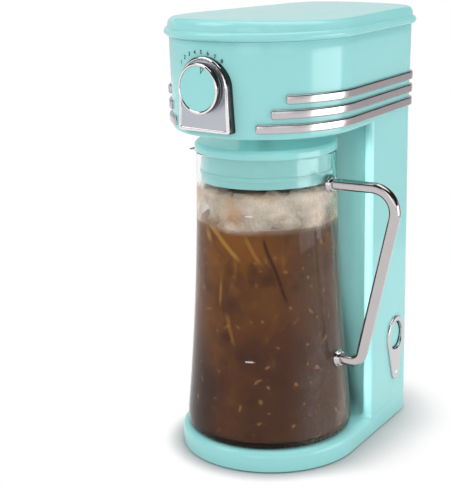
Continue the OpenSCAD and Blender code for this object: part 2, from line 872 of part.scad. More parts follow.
module jar_shape() {
    difference() {
        union() {
            polygon(concat([[0, stand_z], [jar_foot_r - foot_round, stand_z], [jar_foot_r, stand_z + foot_round]], jar_side,
                [[0, jar_top]]));
            translate([jar_foot_r - foot_round, stand_z + foot_round]) circle(r = foot_round);
        }
        polygon(concat([[0, stand_z + jar_floor], [jar_foot_r - jar_wall - foot_round, stand_z + jar_floor],
            [jar_foot_r - jar_wall, stand_z + jar_floor + foot_round]], jar_void, [[0, jar_top + 1]]));
    }
}

module spout() {
    intersection() {
        rotate([90, 0, 0]) translate([0, 0, -spout_w]) linear_extrude(2 * spout_w)
            polygon([[jar_rim_r - jar_wall + 0.5, jar_top - notch[1]], [spout_r - 1.5, jar_top - spout_drop],
                [spout_r, jar_top - spout_drop - 1], [spout_r - 1, jar_top - spout_drop - lip_t],
                [jar_rim_r + 5, jar_top - lip_root + 5], [jar_rim_r - 1, jar_top - lip_root]]);
        translate([0, 0, jar_top - 2 * lip_root]) linear_extrude(3 * lip_root) {
            translate([spout_r - lip_tip, 0]) circle(r = lip_tip);
            polygon([[0, -spout_w], [jar_rim_r - 2, -spout_w], [spout_r - lip_tip, -lip_tip], [spout_r - lip_tip, lip_tip],
                [jar_rim_r - 2, spout_w], [0, spout_w]]);
        }
    }
}

module pitcher_jar() {
    color(clear, 0.5) rotate([0, 0, pitcher_turn]) difference() {
        union() {
            rotate_extrude() jar_shape();
            rotate([0, 0, 180]) spout();
            for (h = [arm_top, arm_low]) translate([jar_r(h) - 1.6, 0, stand_z + h]) rotate([0, 90, 0])
                cylinder(r = boss_r, h = boss_l + 1.6);
        }
        rotate([0, 0, 180]) translate([jar_rim_r - jar_wall - 2, -notch[0] / 2, jar_top - notch[1]])
            cube([jar_wall + 4, notch[0], notch[1] + 1]);
        for (h = [arm_top, arm_low]) translate([jar_r(h) - 0.6, 0, stand_z + h]) rotate([0, 90, 0])
            cylinder(r = pin_r, h = 20);
    }
}

// Handle
low_reach = jar_r(arm_low) + boss_l + low_arm;
grip_lean = atan2(grip_reach - low_reach, arm_top - arm_low);
turn_top = bend_top * tan((90 + grip_lean) / 2);
turn_low = bend_low * tan((90 - grip_lean) / 2);
grip_len = (arm_top - arm_low) / cos(grip_lean);
bar_in = bar_t - 2 * seam;
pin_top = 16;
pin_low = low_arm - 3.3;

module bend(r, a0, a1) {
    intersection() {
        difference() {
            circle(r = r + bar_t / 2);
            circle(r = r - bar_t / 2);
        }
        polygon([[0, 0], big * [cos(a0), sin(a0)], big * [cos((a0 + a1) / 2), sin((a0 + a1) / 2)],
            big * [cos(a1), sin(a1)]]);
    }
}

module handle_shape() {
    translate([jar_r(arm_top) + boss_l, arm_top - bar_in / 2])
        square([grip_reach - turn_top - jar_r(arm_top) - boss_l + lap, bar_in]);
    translate([grip_reach - turn_top, arm_top - bend_top]) bend(bend_top, -grip_lean, 90);
    translate([grip_reach, arm_top]) rotate(-grip_lean) translate([-bar_in / 2, -grip_len + turn_low - lap])
        square([bar_in, grip_len - turn_low - turn_top + 2 * lap]);
    translate([low_reach - turn_low, arm_low + bend_low]) bend(bend_low, -90, -grip_lean);
    translate([jar_r(arm_low) + boss_l, arm_low - bar_in / 2])
        square([low_reach - turn_low - jar_r(arm_low) - boss_l + lap, bar_in]);
}

module pitcher_handle() {
    color(bright) rotate([0, 0, pitcher_turn]) difference() {
        translate([0, bar_w / 2, stand_z]) rotate([90, 0, 0]) linear_extrude(bar_w) handle_shape();
        handle_pin(0.01);
    }
}

module handle_pin(d) {
    translate([jar_r(arm_top) - 0.6, 0, stand_z + arm_top]) rotate([0, 90, 0])
        cylinder(r = pin_r, h = pin_top + d);
    translate([jar_r(arm_low) - 0.6, 0, stand_z + arm_low]) rotate([0, 90, 0])
        cylinder(r = pin_r, h = pin_low + d);
}

module handle_pins() {
    color(steel) rotate([0, 0, pitcher_turn]) handle_pin(0);
}

// Pitcher lid
neck_r = min([for (d = [0 : cap_skirt_h]) jar_r(jar_h - d)]) - jar_wall;
cap_r = jar_rim_r + cap_lip;
cap_skirt_r = neck_r - skirt_gap;
cap_wall = 2.6;
cap_round = 3;
cap_top = jar_top + cap_h;
cap_flange = 3.6;
skirt_t = 2.2;
pour_w = 16;
pour_h = 9;

module cap_shape() {
    difference() {
        union() {
            translate([drip_r, cap_top - cap_wall]) square([cap_r - drip_r, cap_wall]);
            translate([cap_skirt_r - skirt_t, jar_top]) square([cap_r - cap_skirt_r + skirt_t, cap_h]);
            translate([cap_skirt_r - skirt_t, jar_top - cap_skirt_h]) square([skirt_t, cap_skirt_h + 1]);
            translate([drip_r, cap_top - cap_h]) square([skirt_t, cap_h]);
        }
        rounded_corner(cap_r, cap_top, cap_round);
    }
}

module pitcher_lid() {
    color(teal) rotate([0, 0, pitcher_turn]) difference() {
        rotate_extrude() cap_shape();
        translate([-pour_w / 2, 0, jar_top - pour_h]) cube([pour_w, big, pour_h - 1]);
    }
}

seal_h = 3;
seal_z = jar_top - cap_skirt_h + 6;
seal_play = 0.2;
seal_t = skirt_gap - seal_play;

module pitcher_seal() {
    color(clear) translate([0, 0, seal_z]) linear_extrude(seal_h) difference() {
        circle(r = cap_skirt_r + seal_t);
        circle(r = cap_skirt_r);
    }
}

base_housing();
bottom_cover();
rubber_feet();
base_screws();
column_housing();
rear_cover();
cover_screws();
cord_gland();
head_housing();
water_tank();
cold_hose();
check_valve();
heater_tube();
heater_bracket();
heater_screw();
thermostat();
riser_tube();
spray_plate();
brew_basket();
mesh_filter();
trim_right_lower();
trim_right_middle();
trim_right_upper();
trim_left_lower();
trim_left_middle();
trim_left_upper();
dial_plate();
dial_bush();
knob_ring();
knob_face();
knob_pointer();
knob_shaft();
flow_gate();
switch_bezel();
switch_housing();
power_button();
indicator_lens();
lid_cap();
pitcher_jar();
pitcher_handle();
handle_pins();
pitcher_lid();
pitcher_seal();
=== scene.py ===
"""Iced coffee maker: shells, finishes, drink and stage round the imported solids."""

import json
import math
import random

import bmesh
import bpy
import numpy as np
from bpy.props import FloatProperty, FloatVectorProperty, IntProperty, PointerProperty
from mathutils import Matrix, Vector


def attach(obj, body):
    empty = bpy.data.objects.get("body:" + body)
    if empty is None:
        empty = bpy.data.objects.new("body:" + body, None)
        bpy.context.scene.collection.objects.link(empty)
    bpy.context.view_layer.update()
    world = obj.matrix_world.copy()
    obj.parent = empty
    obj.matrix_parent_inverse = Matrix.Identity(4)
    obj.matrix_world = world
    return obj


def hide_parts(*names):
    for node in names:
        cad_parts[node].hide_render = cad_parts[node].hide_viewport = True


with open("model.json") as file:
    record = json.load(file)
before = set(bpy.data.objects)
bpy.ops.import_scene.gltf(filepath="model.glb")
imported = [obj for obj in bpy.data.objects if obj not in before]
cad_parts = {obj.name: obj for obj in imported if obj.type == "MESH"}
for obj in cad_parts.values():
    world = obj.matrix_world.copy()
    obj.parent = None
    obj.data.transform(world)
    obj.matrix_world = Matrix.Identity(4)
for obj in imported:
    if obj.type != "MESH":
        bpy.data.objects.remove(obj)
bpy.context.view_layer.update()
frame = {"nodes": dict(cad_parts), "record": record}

bl_info = {
    "name": "Iced coffee maker",
    "version": (1, 0, 0),
    "blender": (4, 5, 0),
    "location": "3D View > Sidebar > Coffee maker",
    "description": "Dresses the solids of an iced coffee maker with shells, finishes, drink and stage",
    "category": "Object",
}

MM = 0.001
QUARTER = math.pi / 2

# Plan of the body, in millimetres, as the solids have it
FRONT_R = 76.6
FRONT_Y = 2.8
REAR_R = 18.0
REAR_CX = 43.0
REAR_CY = 115.0
WALL = 2.6
BAY_R = 80.5
BACK_Y = REAR_CY + REAR_R

# Heights
SKIRT_Z = 1.0
DECK_Z = 18.0
HEAD_Z = 272.8
RIM_Z = 346.5
LID_Z = 360.0
KNOB_Z = 311.8
SWITCH_Z = 78.0
LAMP_Z = 44.0

# Pitcher
TURN = math.radians(9.0)
STAND_Z = 18.05
JAR_H = 236.4
JAR_TOP = STAND_Z + JAR_H
JAR_WALL = 2.8
ARM_TOP = 211.3
ARM_LOW = 65.2

# The flat right-hand side: its angle, outward and backward directions, ends and length
REACH_Y = REAR_CY - FRONT_Y
SIDE_ANGLE = math.asin((FRONT_R - REAR_R) / math.hypot(REAR_CX, REACH_Y)) - math.atan2(REAR_CX, REACH_Y)
SIDE_N = np.array([math.cos(SIDE_ANGLE), math.sin(SIDE_ANGLE)])
SIDE_T = np.array([-math.sin(SIDE_ANGLE), math.cos(SIDE_ANGLE)])
FRONT_MID = np.array([0, FRONT_Y])
REAR_MID = np.array([REAR_CX, REAR_CY])
FRONT_PT = FRONT_MID + FRONT_R * SIDE_N
REAR_PT = REAR_MID + REAR_R * SIDE_N
SIDE_LEN = float(np.linalg.norm(REAR_PT - FRONT_PT))


def length_prop(name, description, default, low, high):
    return FloatProperty(name=name, description=description, default=default, min=low, max=high,
                         unit="LENGTH")


def colour_prop(name, description, default):
    return FloatVectorProperty(name=name, description=description, default=default, size=3, min=0, max=1,
                               subtype="COLOR")


class MakerSizes(bpy.types.PropertyGroup):
    """Sizes a user would change."""

    deck_round: length_prop("Deck edge", "Rounding of the deck's front edge", 0.0055, 0.001, 0.008)
    head_round: length_prop("Head edge", "Rounding of the head's lower edge", 0.003, 0.0005, 0.006)
    column_round: length_prop("Column edge", "Rounding of the column's front edges", 0.004, 0.001, 0.006)
    foot_flare: length_prop("Column foot", "Hollow rounding between column and deck", 0.005, 0.001, 0.009)
    head_draft: length_prop("Head draft", "How much the head widens up to its edge", 0.0014, 0.0, 0.002)
    lid_crown: length_prop("Lid crown", "Rise of the lid's middle line above its sides", 0.0022, 0.0, 0.005)
    coffee_level: length_prop("Coffee level", "Height of the coffee's surface above the floor",
                              0.198, 0.03, 0.225)
    ice_count: IntProperty(name="Ice", description="Number of ice pieces", default=22, min=0, max=40)
    numeral_size: length_prop("Numeral size", "Height of the numerals round the dial", 0.0029, 0.001, 0.006)


class MakerColours(bpy.types.PropertyGroup):
    """Colours a user would change."""

    body: colour_prop("Body", "Colour of the gloss mouldings", (0.315, 0.690, 0.675))
    bright: colour_prop("Bright metal", "Colour of the plated trim", (0.54, 0.51, 0.51))
    satin: colour_prop("Satin metal", "Colour of the dial plate's face", (0.62, 0.63, 0.69))
    coffee: colour_prop("Coffee", "Colour of the coffee in its depth", (0.062, 0.026, 0.018))
    # The thin coffee colour is painted light, standing for lamp light coming through the drink
    painted_light_coffee: colour_prop("Thin coffee", "Colour of the coffee where light comes through", (0.24, 0.085, 0.018))
    ice: colour_prop("Ice", "Colour of the ice", (1.0, 0.90, 0.78))
    floor: colour_prop("Floor", "Colour of the floor", (0.80, 0.80, 0.80))


def size_of(name):
    """A length from the sidebar, in millimetres."""
    return getattr(bpy.context.scene.maker_sizes, name) / MM


def tone_of(name):
    """A colour from the sidebar."""
    return tuple(getattr(bpy.context.scene.maker_colours, name))


# Shaders
NODES_ACROSS = 8
NODE_WIDE = 180
NODE_TALL = 260
SHOWS_GRAIN = 0.1
WHITE = (1.0, 1.0, 1.0)


def math_method(operation, swapped=False):
    """The method of an operator, which adds one Math node."""

    def method(self, other):
        first, second = (other, self) if swapped else (self, other)
        return self.finish.node("ShaderNodeMath", {"operation": operation}, {0: first, 1: second})

    return method


class Value:
    """An output socket on which sums are written as Python expressions."""

    def __init__(self, finish, socket):
        self.finish = finish
        self.socket = socket

    __add__ = math_method("ADD")
    __radd__ = math_method("ADD", swapped=True)
    __sub__ = math_method("SUBTRACT")
    __rsub__ = math_method("SUBTRACT", swapped=True)
    __mul__ = math_method("MULTIPLY")
    __rmul__ = math_method("MULTIPLY", swapped=True)
    __truediv__ = math_method("DIVIDE")
    __pow__ = math_method("POWER")


class Finish:
    """A material or world that is put together node by node."""

    def __init__(self, owner):
        owner.use_nodes = True
        self.owner = owner
        self.tree = owner.node_tree
        self.tree.nodes.clear()

    def node(self, kind, settings=None, sockets=None, output=0):
        row, column = divmod(len(self.tree.nodes), NODES_ACROSS)
        made = self.tree.nodes.new(kind)
        made.location = (column * NODE_WIDE, -row * NODE_TALL)
        for key, value in (settings or {}).items():
            setattr(made, key, value)
        for key, value in (sockets or {}).items():
            target = made.inputs[key]
            if isinstance(value, Value):
                self.tree.links.new(value.socket, target)
            elif target.type == "RGBA":
                target.default_value = (*value, 1.0)
            else:
                target.default_value = value
        return Value(self, made.outputs[output]) if made.outputs else None

    def place(self):
        return self.node("ShaderNodeTexCoord", output="Object")

    def axis(self, name):
        return self.node("ShaderNodeSeparateXYZ", None, {0: self.place()}, output=name)

    def across(self):
        """Distance along a line from the front left to the rear right."""
        return self.axis("X") * 0.78 + self.axis("Y") * 0.62

    def noise(self, scale, detail=2.0, rough=0.5, where=None):
        sockets = {"Vector": where or self.place(), "Scale": scale, "Detail": detail, "Roughness": rough}
        return self.node("ShaderNodeTexNoise", None, sockets, output="Fac")

    def cell_edges(self, scale, where=None):
        """Distance to the edges of a pattern of cells."""
        sockets = {"Vector": where or self.place(), "Scale": scale}
        return self.node("ShaderNodeTexVoronoi", {"feature": "DISTANCE_TO_EDGE"}, sockets, output="Distance")

    def span(self, value, low, high, start=0.0, end=1.0):
        settings = {"interpolation_type": "SMOOTHSTEP"}
        sockets = {"Value": value, "From Min": low, "From Max": high, "To Min": start, "To Max": end}
        return self.node("ShaderNodeMapRange", settings, sockets)

    def blend(self, factor, first, second):
        settings = {"data_type": "RGBA"}
        return self.node("ShaderNodeMix", settings, {"Factor": factor, 6: first, 7: second}, output=2)

    def varied(self, factor, tone, low, high):
        """One tone in two shades."""
        return self.blend(factor, shade(tone, low), shade(tone, high))

    def mixed(self, factor, first, second):
        return self.node("ShaderNodeMixShader", None, {0: factor, 1: first, 2: second})

    def bump(self, height, strength, distance):
        sockets = {"Strength": strength, "Distance": distance, "Height": height}
        return self.node("ShaderNodeBump", None, sockets)

    def shader(self, sockets):
        return self.node("ShaderNodeBsdfPrincipled", None, sockets)

    def done(self, surface):
        kind = "World" if isinstance(self.owner, bpy.types.World) else "Material"
        self.node("ShaderNodeOutput" + kind, None, {"Surface": surface})
        return self.owner

    def plain(self, sockets):
        """Ends the finish with one shader."""
        return self.done(self.shader(sockets))


def new_finish(name):
    return Finish(bpy.data.materials.new(name))


def shade(colour, factor):
    return tuple(min(1.0, c * factor) for c in colour)


def gloss_moulding():
    look = new_finish("gloss_moulding")
    flow = look.noise(14.0, 3.0)
    grain = look.noise(1400.0, 1.0)
    peel = look.noise(240.0, 2.0)
    return look.plain({
        "Base Color": look.varied(flow, tone_of("body"), 0.975, 1.02),
        "Roughness": 0.1 + flow * 0.05 + grain * 0.04,
        "IOR": 1.48,
        "Normal": look.bump(peel + grain * 0.15, 0.025, 0.0004),
    })


def plated(name, tone, rough, brushed):
    """Metal plating, with a fine grain where it is brushed enough to show."""
    look = new_finish(name)
    cloud = look.noise(60.0, 3.0)
    speck = look.noise(2600.0, 2.0)
    sockets = {
        "Base Color": look.varied(cloud, tone, 0.95, 1.04),
        "Metallic": 1.0,
        "Roughness": rough + cloud * 0.03 + speck * brushed,
    }
    if brushed > SHOWS_GRAIN:
        sockets["Normal"] = look.bump(speck, 0.35, 0.0001)
    return look.plain(sockets)


def dull_plastic(name, tone, rough):
    look = new_finish(name)
    grain = look.noise(1800.0, 2.0)
    cloud = look.noise(30.0, 2.0)
    return look.plain({
        "Base Color": look.varied(cloud, tone, 0.9, 1.12),
        "Roughness": rough + grain * 0.12,
        "Normal": look.bump(grain, 0.2, 0.0001),
    })


def milky_tub():
    look = new_finish("milky_tub")
    cloud = look.noise(40.0, 2.0)
    return look.plain({
        "Base Color": look.blend(cloud, (0.78, 0.81, 0.81), (0.86, 0.88, 0.88)),
        "Roughness": 0.3 + cloud * 0.1,
        "Transmission Weight": 0.35,
        "IOR": 1.49,
    })


def woven_steel():
    look = new_finish("woven_steel")
    waves = [look.axis(name) * 7000.0 for name in "XY"]
    wires = [look.node("ShaderNodeMath", {"operation": "SINE"}, {0: wave}) for wave in waves]
    weave = wires[0] * wires[1]
    return look.plain({
        "Base Color": look.blend(look.span(weave, -0.4, 0.4), (0.18, 0.18, 0.19), (0.62, 0.62, 0.63)),
        "Metallic": 1.0,
        "Roughness": 0.34 + look.noise(90.0) * 0.1,
        "Normal": look.bump(weave, 0.5, 0.0003),
    })


def clear_jar():
    """Glass with a fogged band above the coffee and fine drops on its right-hand side."""
    look = new_finish("clear_jar")
    high = look.axis("Z")
    spout = look.span(high, 0.243, 0.249) * look.span(look.axis("X"), -0.05, -0.062)
    fog_band = look.span(high, 0.193, 0.2) * look.span(high, 0.23, 0.222)
    cloud = look.noise(24.0, 3.0, 0.55)
    drops = look.noise(520.0, 2.0, 0.6)
    right = look.span(look.across(), 0.005, 0.045)
    sweat = look.span(high, 0.202, 0.192) * right * look.span(drops, 0.3, 0.7) * 0.14
    patches = 0.26 + 0.5 * look.span(cloud, 0.42, 0.64)
    fog = fog_band * patches * (0.8 + 0.2 * look.span(drops, 0.35, 0.6)) + sweat
    glass = look.shader({
        "Base Color": look.blend(spout, (0.97, 0.985, 0.985), (0.84, 0.82, 0.8)),
        "Roughness": 0.0,
        "Transmission Weight": 1.0,
        "IOR": 1.28,
        "Specular Tint": (0.7, 0.68, 0.66),
    })
    thin = look.span(look.noise(26.0, 3.0), 0.35, 0.62)
    mist = look.shader({
        "Base Color": look.blend(thin, (0.74, 0.46, 0.25), (0.95, 0.82, 0.69)),
        "Roughness": 0.5,
        "Transmission Weight": 0.3,
        "IOR": 1.33,
    })
    return look.done(look.mixed(fog, glass, mist))


# Streaks painted in the coffee, the lighter ones as painted light and one as a darker line: place across,
# lean, half width, lower and upper end in metres, and colour
STREAKS = (
    (-0.045, -0.85, 0.0016, 0.17, 0.204, (0.46, 0.25, 0.05)),
    (-0.014, -0.5, 0.0011, 0.168, 0.195, (0.36, 0.17, 0.035)),
    (0.0, -0.33, 0.001, 0.135, 0.194, (0.045, 0.018, 0.01)),
    (-0.03, -0.2, 0.001, 0.1, 0.13, (0.26, 0.12, 0.03)),
)


def coffee_body():
    """Coffee with painted light: orange-brown higher up and on the left where the lamps fall, painted glints
    and light streaks, a darker streak, painted shade low on the left, a painted greyish reflection on the
    right, and specks.
    """
    look = new_finish("coffee_body")
    deep = tone_of("coffee")
    high = look.axis("Z")
    across = look.across()
    left = look.span(across, 0.04, -0.05)
    upper = look.span(high, 0.04, 0.19)
    swirl = look.noise(18.0, 4.0, 0.6)
    mottle = look.noise(48.0, 5.0, 0.7)
    slanted = {"Vector": look.place(), "Rotation": (0.0, 0.45, 0.6), "Scale": (1.0, 1.0, 0.22)}
    slant = look.node("ShaderNodeMapping", None, slanted)
    # Painted highlights: glints along the edges of slanted cells, more of them high up and on the left
    painted_glint_edges = look.span(look.cell_edges(30.0, slant), 0.05, 0.015)
    painted_glint = painted_glint_edges * look.span(look.noise(30.0, 2.0), 0.5, 0.72)
    cracks = look.span(look.noise(60.0, 5.0, 0.7, slant), 0.56, 0.74)
    # Painted light: the coffee turns orange-brown higher up and towards the left, where the lamps fall
    light = (0.2 + 0.8 * upper) * (0.35 + 0.65 * left) * look.span(swirl, 0.32, 0.66, 0.2, 1.15)
    layers = [
        (light, tone_of("painted_light_coffee")),
        (painted_glint * upper * (0.25 + 0.75 * left), (0.50, 0.25, 0.045)),
        # Lighter patches, more of them higher up: partly a random mottle, partly painted light
        (look.span(mottle, 0.52, 0.68) * (0.2 + 0.4 * upper), (0.24, 0.1, 0.025)),
        (look.span(mottle, 0.46, 0.34) * 0.5, shade(deep, 0.6)),
        (cracks * (0.3 + 0.3 * upper), shade(deep, 0.45)),
    ]
    # Painted light streaks, and one darker line, laid into the coffee's colour
    for start, lean, half, low, top, tone in STREAKS:
        off = across - start - (high - top) * lean + swirl * 0.008
        ends = look.span(high, low, low + 0.008) * look.span(high, top, top - 0.006)
        layers.append((look.span(off * off, half ** 2 * 4, 0.0) * ends * 0.8, tone))
    # Painted shade: darker low down at the coffee's left edge
    painted_shade_low_left = look.span(across, -0.04, -0.062) * look.span(high, 0.15, 0.06)
    specks = look.span(look.noise(190.0, 0.0), 0.74, 0.8)
    # Then a painted greyish reflection towards the right, painted shade low on the left, and specks
    layers += [
        (look.span(across, 0.012, 0.04) * 0.5, (0.095, 0.068, 0.058)),
        (painted_shade_low_left * 0.7, shade(deep, 0.4)),
        (specks * 0.7, (0.3, 0.15, 0.05)),
    ]
    colour = deep
    for mask, tone in layers:
        colour = look.blend(mask, colour, tone)
    return look.plain({
        "Base Color": colour,
        "Roughness": 0.5 + swirl * 0.2,
        "IOR": 1.34,
        "Specular IOR Level": 0.05,
    })


def cloudy_ice():
    look = new_finish("cloudy_ice")
    cloud = look.noise(70.0, 4.0, 0.6)
    stain = look.span(look.noise(20.0, 2.0), 0.46, 0.62)
    colour = look.varied(look.span(cloud, 0.35, 0.7), tone_of("ice"), 0.82, 1.1)
    colour = look.blend(look.span(look.cell_edges(150.0), 0.12, 0.02) * 0.35, colour, (0.5, 0.34, 0.22))
    return look.plain({
        "Base Color": look.blend(stain * 0.62, colour, (0.40, 0.22, 0.10)),
        "Roughness": 0.12 + cloud * 0.25,
        "Transmission Weight": 0.35,
        "IOR": 1.31,
        "Normal": look.bump(cloud, 0.4, 0.002),
    })


def lamp_dome():
    look = new_finish("lamp_dome")
    return look.plain({
        "Base Color": look.blend(look.noise(500.0), (0.78, 0.79, 0.77), (0.9, 0.9, 0.88)),
        "Roughness": 0.12,
        "Subsurface Weight": 0.2,
        "Coat Weight": 0.4,
    })


def printed(name, tone):
    look = new_finish(name)
    return look.plain({
        "Base Color": look.varied(look.noise(800.0), tone, 0.9, 1.1),
        "Roughness": 0.4 + look.noise(1500.0) * 0.1,
    })


# How each finish is made: the slots of the record, and the black that is painted on the dial's side faces as
# a dark reflection
RECIPES = {
    "teal_plastic": gloss_moulding,
    "chrome_trim": lambda: plated("chrome", tone_of("bright"), 0.04, 0.02),
    "clear_jar": clear_jar,
    "dark_plastic": lambda: dull_plastic("dark_plastic", (0.022, 0.023, 0.025), 0.34),
    "rubber_black": lambda: dull_plastic("soft_rubber", (0.018, 0.018, 0.018), 0.62),
    "steel": lambda: plated("plain_steel", (0.55, 0.55, 0.56), 0.24, 0.08),
    "heater_alloy": lambda: plated("cast_alloy", (0.46, 0.46, 0.47), 0.4, 0.2),
    "silicone": lambda: dull_plastic("milky_silicone", (0.62, 0.62, 0.60), 0.42),
    "lamp_lens": lamp_dome,
    "tank_plastic": milky_tub,
    "black_plate": lambda: plated("black_plate", (0.06, 0.06, 0.06), 0.08, 0.02),
}
FINISHES = {}


def finish_of(name):
    if name not in FINISHES:
        FINISHES[name] = RECIPES[name]()
    return FINISHES[name]


# Forms: arrays of points in millimetres with the faces between them
def polar(angles):
    return np.column_stack([np.cos(angles), np.sin(angles)])


def raised(flat, z):
    """Flat points at one height, or each at its own."""
    return np.column_stack([flat, np.broadcast_to(z, len(flat))])


def upright(flat, y):
    """Flat points stood up, facing the front."""
    return np.column_stack([flat[:, 0], np.full(len(flat), y), flat[:, 1]])


def loft(rings, tube=False):
    """Rings of points joined one to the next, closed at both ends or back to the first."""
    count, size = len(rings), len(rings[0])
    faces = []
    for i in range(count if tube else count - 1):
        a, b = i * size, (i + 1) % count * size
        faces += [(a + j, a + (j + 1) % size, b + (j + 1) % size, b + j) for j in range(size)]
    if not tube:
        faces.append(tuple(reversed(range(size))))
        faces.append(tuple(range((count - 1) * size, count * size)))
    return np.concatenate(rings), faces


def joined(*forms):
    points, faces, start = [], [], 0
    for form_points, form_faces in forms:
        points.append(form_points)
        faces += [tuple(start + i for i in face) for face in form_faces]
        start += len(form_points)
    return np.concatenate(points), faces


def turned(profile, centre=(0, 0, 0), axis=(0, 0, 1), count=96, tube=False):
    """A profile of (radius, distance along the axis) turned about that axis."""
    axis = Vector(axis).normalized()
    side = axis.orthogonal().normalized()
    angles = stops(0, 2 * math.pi, count)
    spoke = np.outer(np.cos(angles), side) + np.outer(np.sin(angles), axis.cross(side))
    return loft([np.array(centre) + r * spoke + h * np.array(axis) for r, h in profile], tube)


def box_form(low, high):
    (x0, y0, z0), (x1, y1, z1) = low, high
    ring = np.array([(x0, y0), (x1, y0), (x1, y1), (x0, y1)], float)
    return loft([raised(ring, z) for z in (z0, z1)])


def strip_form(flat, low, high):
    """A wall one face high along flat points."""
    count = len(flat)
    faces = [(i, i + 1, i + 1 + count, i + count) for i in range(count - 1)]
    return np.concatenate([raised(flat, low), raised(flat, high)]), faces


def mesh_of(name, form):
    points, faces = form
    mesh = bpy.data.meshes.new(name)
    mesh.from_pydata((np.asarray(points, float) * MM).tolist(), [], faces)
    work = bmesh.new()
    work.from_mesh(mesh)
    bmesh.ops.recalc_face_normals(work, faces=work.faces)
    work.to_mesh(mesh)
    work.free()
    return mesh


def linked(name, data):
    obj = bpy.data.objects.new(name, data)
    bpy.context.scene.collection.objects.link(obj)
    return obj


def final_mesh(obj):
    """A new mesh of an object as it shows."""
    bpy.context.view_layer.update()
    return bpy.data.meshes.new_from_object(obj.evaluated_get(bpy.context.evaluated_depsgraph_get()))


def cut_away(obj, form):
    tool = linked("cutter", mesh_of("cutter", form))
    modifier = obj.modifiers.new("cut", "BOOLEAN")
    modifier.operation = "DIFFERENCE"
    modifier.solver = "EXACT"
    modifier.object = tool
    made = final_mesh(obj)
    if not made.polygons:
        raise RuntimeError(f"cutting {obj.name} left nothing")
    obj.modifiers.remove(modifier)
    old, obj.data = obj.data, made
    made.name = obj.name
    bpy.data.meshes.remove(old)
    bpy.data.meshes.remove(tool.data)


def add_piece(name, form, body, slot, finish=None, cutters=(), angle=32.0, replaced=()):
    """Links a new piece, cuts it, smooths it up to an angle and lets it ride on its body."""
    obj = linked(name, mesh_of(name, form))
    for cutter in cutters:
        cut_away(obj, cutter)
    obj.data.shade_smooth()
    obj.data.set_sharp_from_angle(angle=math.radians(angle))
    obj.data.materials.clear()
    obj.data.materials.append(finish or finish_of(slot))
    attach(obj, body)
    if replaced:
        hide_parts(*replaced)
    return obj


def sweep(start, turn, steps):
    """Even angles of a turn, first one left out."""
    return [start + turn * i / steps for i in range(1, steps + 1)]


def arc_points(x, y, radius, angles):
    return [(x + radius * math.cos(a), y + radius * math.sin(a)) for a in angles]


def rounding(steps):
    """Distances of a rounding from its two faces, as shares of its radius, first point left out."""
    return [(1 - math.cos(a), 1 - math.sin(a)) for a in sweep(0, QUARTER, steps)]


def stops(start, end, count):
    """Even distances from a start, with the end left out."""
    return np.linspace(start, end, count, endpoint=False)


# Outline of the body
FRONT_STEPS = 60
HOLLOW_STEPS = 40
EDGE_STEPS = 14
CORNER_STEPS = 24
BACK_STEPS = 10
FADE_LEAD = 0.5
FADE_LEN = 3.0
# The flat side's points stand close together from this far before the column's start to this far after it
CLOSE_LEAD = 4.0
CLOSE_LEN = 6.0
CLOSE_STEP = 0.5


def bend(centre, radius, angles):
    """Points and normals along an arc."""
    normals = polar(angles)
    return centre + radius * normals, normals


def side_run(steps):
    """Points and normals along the flat side."""
    return FRONT_PT + np.outer(steps, SIDE_T), np.tile(SIDE_N, (len(steps), 1))


def in_turn(*stretches):
    """Stretches of points and normals put one after the other."""
    points, normals = zip(*stretches)
    return np.concatenate(points), np.concatenate(normals)


def front_share(along, start):
    """A share that falls from 1 to 0 where the column starts."""
    t = np.clip((along - start + FADE_LEAD) / FADE_LEN, 0.0, 1.0)
    return 1.0 - t * t * (3 - 2 * t)


def edge_spot(radius):
    """Where the rounded front edge of the column leaves the flat side, and the rounding's centre."""
    inner = FRONT_PT - radius * SIDE_N
    along = inner @ SIDE_T
    start = math.sqrt(along ** 2 - inner @ inner + (BAY_R + radius) ** 2) - along
    return start, inner + start * SIDE_T


def side_steps(start):
    """Distances along the flat side, close together where the column starts."""
    near, far = start - CLOSE_LEAD, start + CLOSE_LEN
    return np.concatenate([stops(0, near, 12), np.arange(near, far, CLOSE_STEP), stops(far, SIDE_LEN, 16)])


def mirrored(points, normals, extra):
    """Completes a half loop that starts and ends on the middle plane."""
    flip = np.array([-1, 1])
    return (np.concatenate([points, points[-2:0:-1] * flip]),
            np.concatenate([normals, normals[-2:0:-1] * flip]),
            np.concatenate([extra, extra[-2:0:-1]]))


def rear_half():
    """Rear corner and half of the back, as points and normals."""
    back = np.column_stack([np.linspace(REAR_CX, 0, BACK_STEPS), np.full(BACK_STEPS, BACK_Y)])
    return in_turn(bend(REAR_MID, REAR_R, stops(SIDE_ANGLE, QUARTER, CORNER_STEPS)),
                   (back, np.tile([0.0, 1.0], (BACK_STEPS, 1))))


class Plan:
    """The body's outline, with a share of 1 on the open front part and 0 along the column."""

    def __init__(self, radius):
        start, _ = edge_spot(radius)
        steps = side_steps(start)
        points, normals = in_turn(bend(FRONT_MID, FRONT_R, stops(-QUARTER, SIDE_ANGLE, FRONT_STEPS)),
                                  side_run(steps), rear_half())
        rear = np.zeros(CORNER_STEPS + BACK_STEPS)
        share = np.concatenate([np.ones(FRONT_STEPS), front_share(steps, start), rear])
        self.points, self.normals, self.share = mirrored(points, normals, share)

    def ring(self, out, z):
        """The outline moved outwards, at one height or each point at its own."""
        return raised(self.points + self.normals * np.broadcast_to(out, len(self.share))[:, None], z)

    def rings(self, steps):
        return [self.ring(out, z) for out, z in steps]

    def circle(self, radius, z):
        angles = np.arctan2(self.points[:, 1], self.points[:, 0])
        return raised(radius * polar(angles), z)


# Base, column and head
SHARP_R = 0.02
SKIRT_EDGE = ((-0.9, 0.0), (-0.3, 0.2), (0.0, 0.8))
DECK_INSET = 8.5
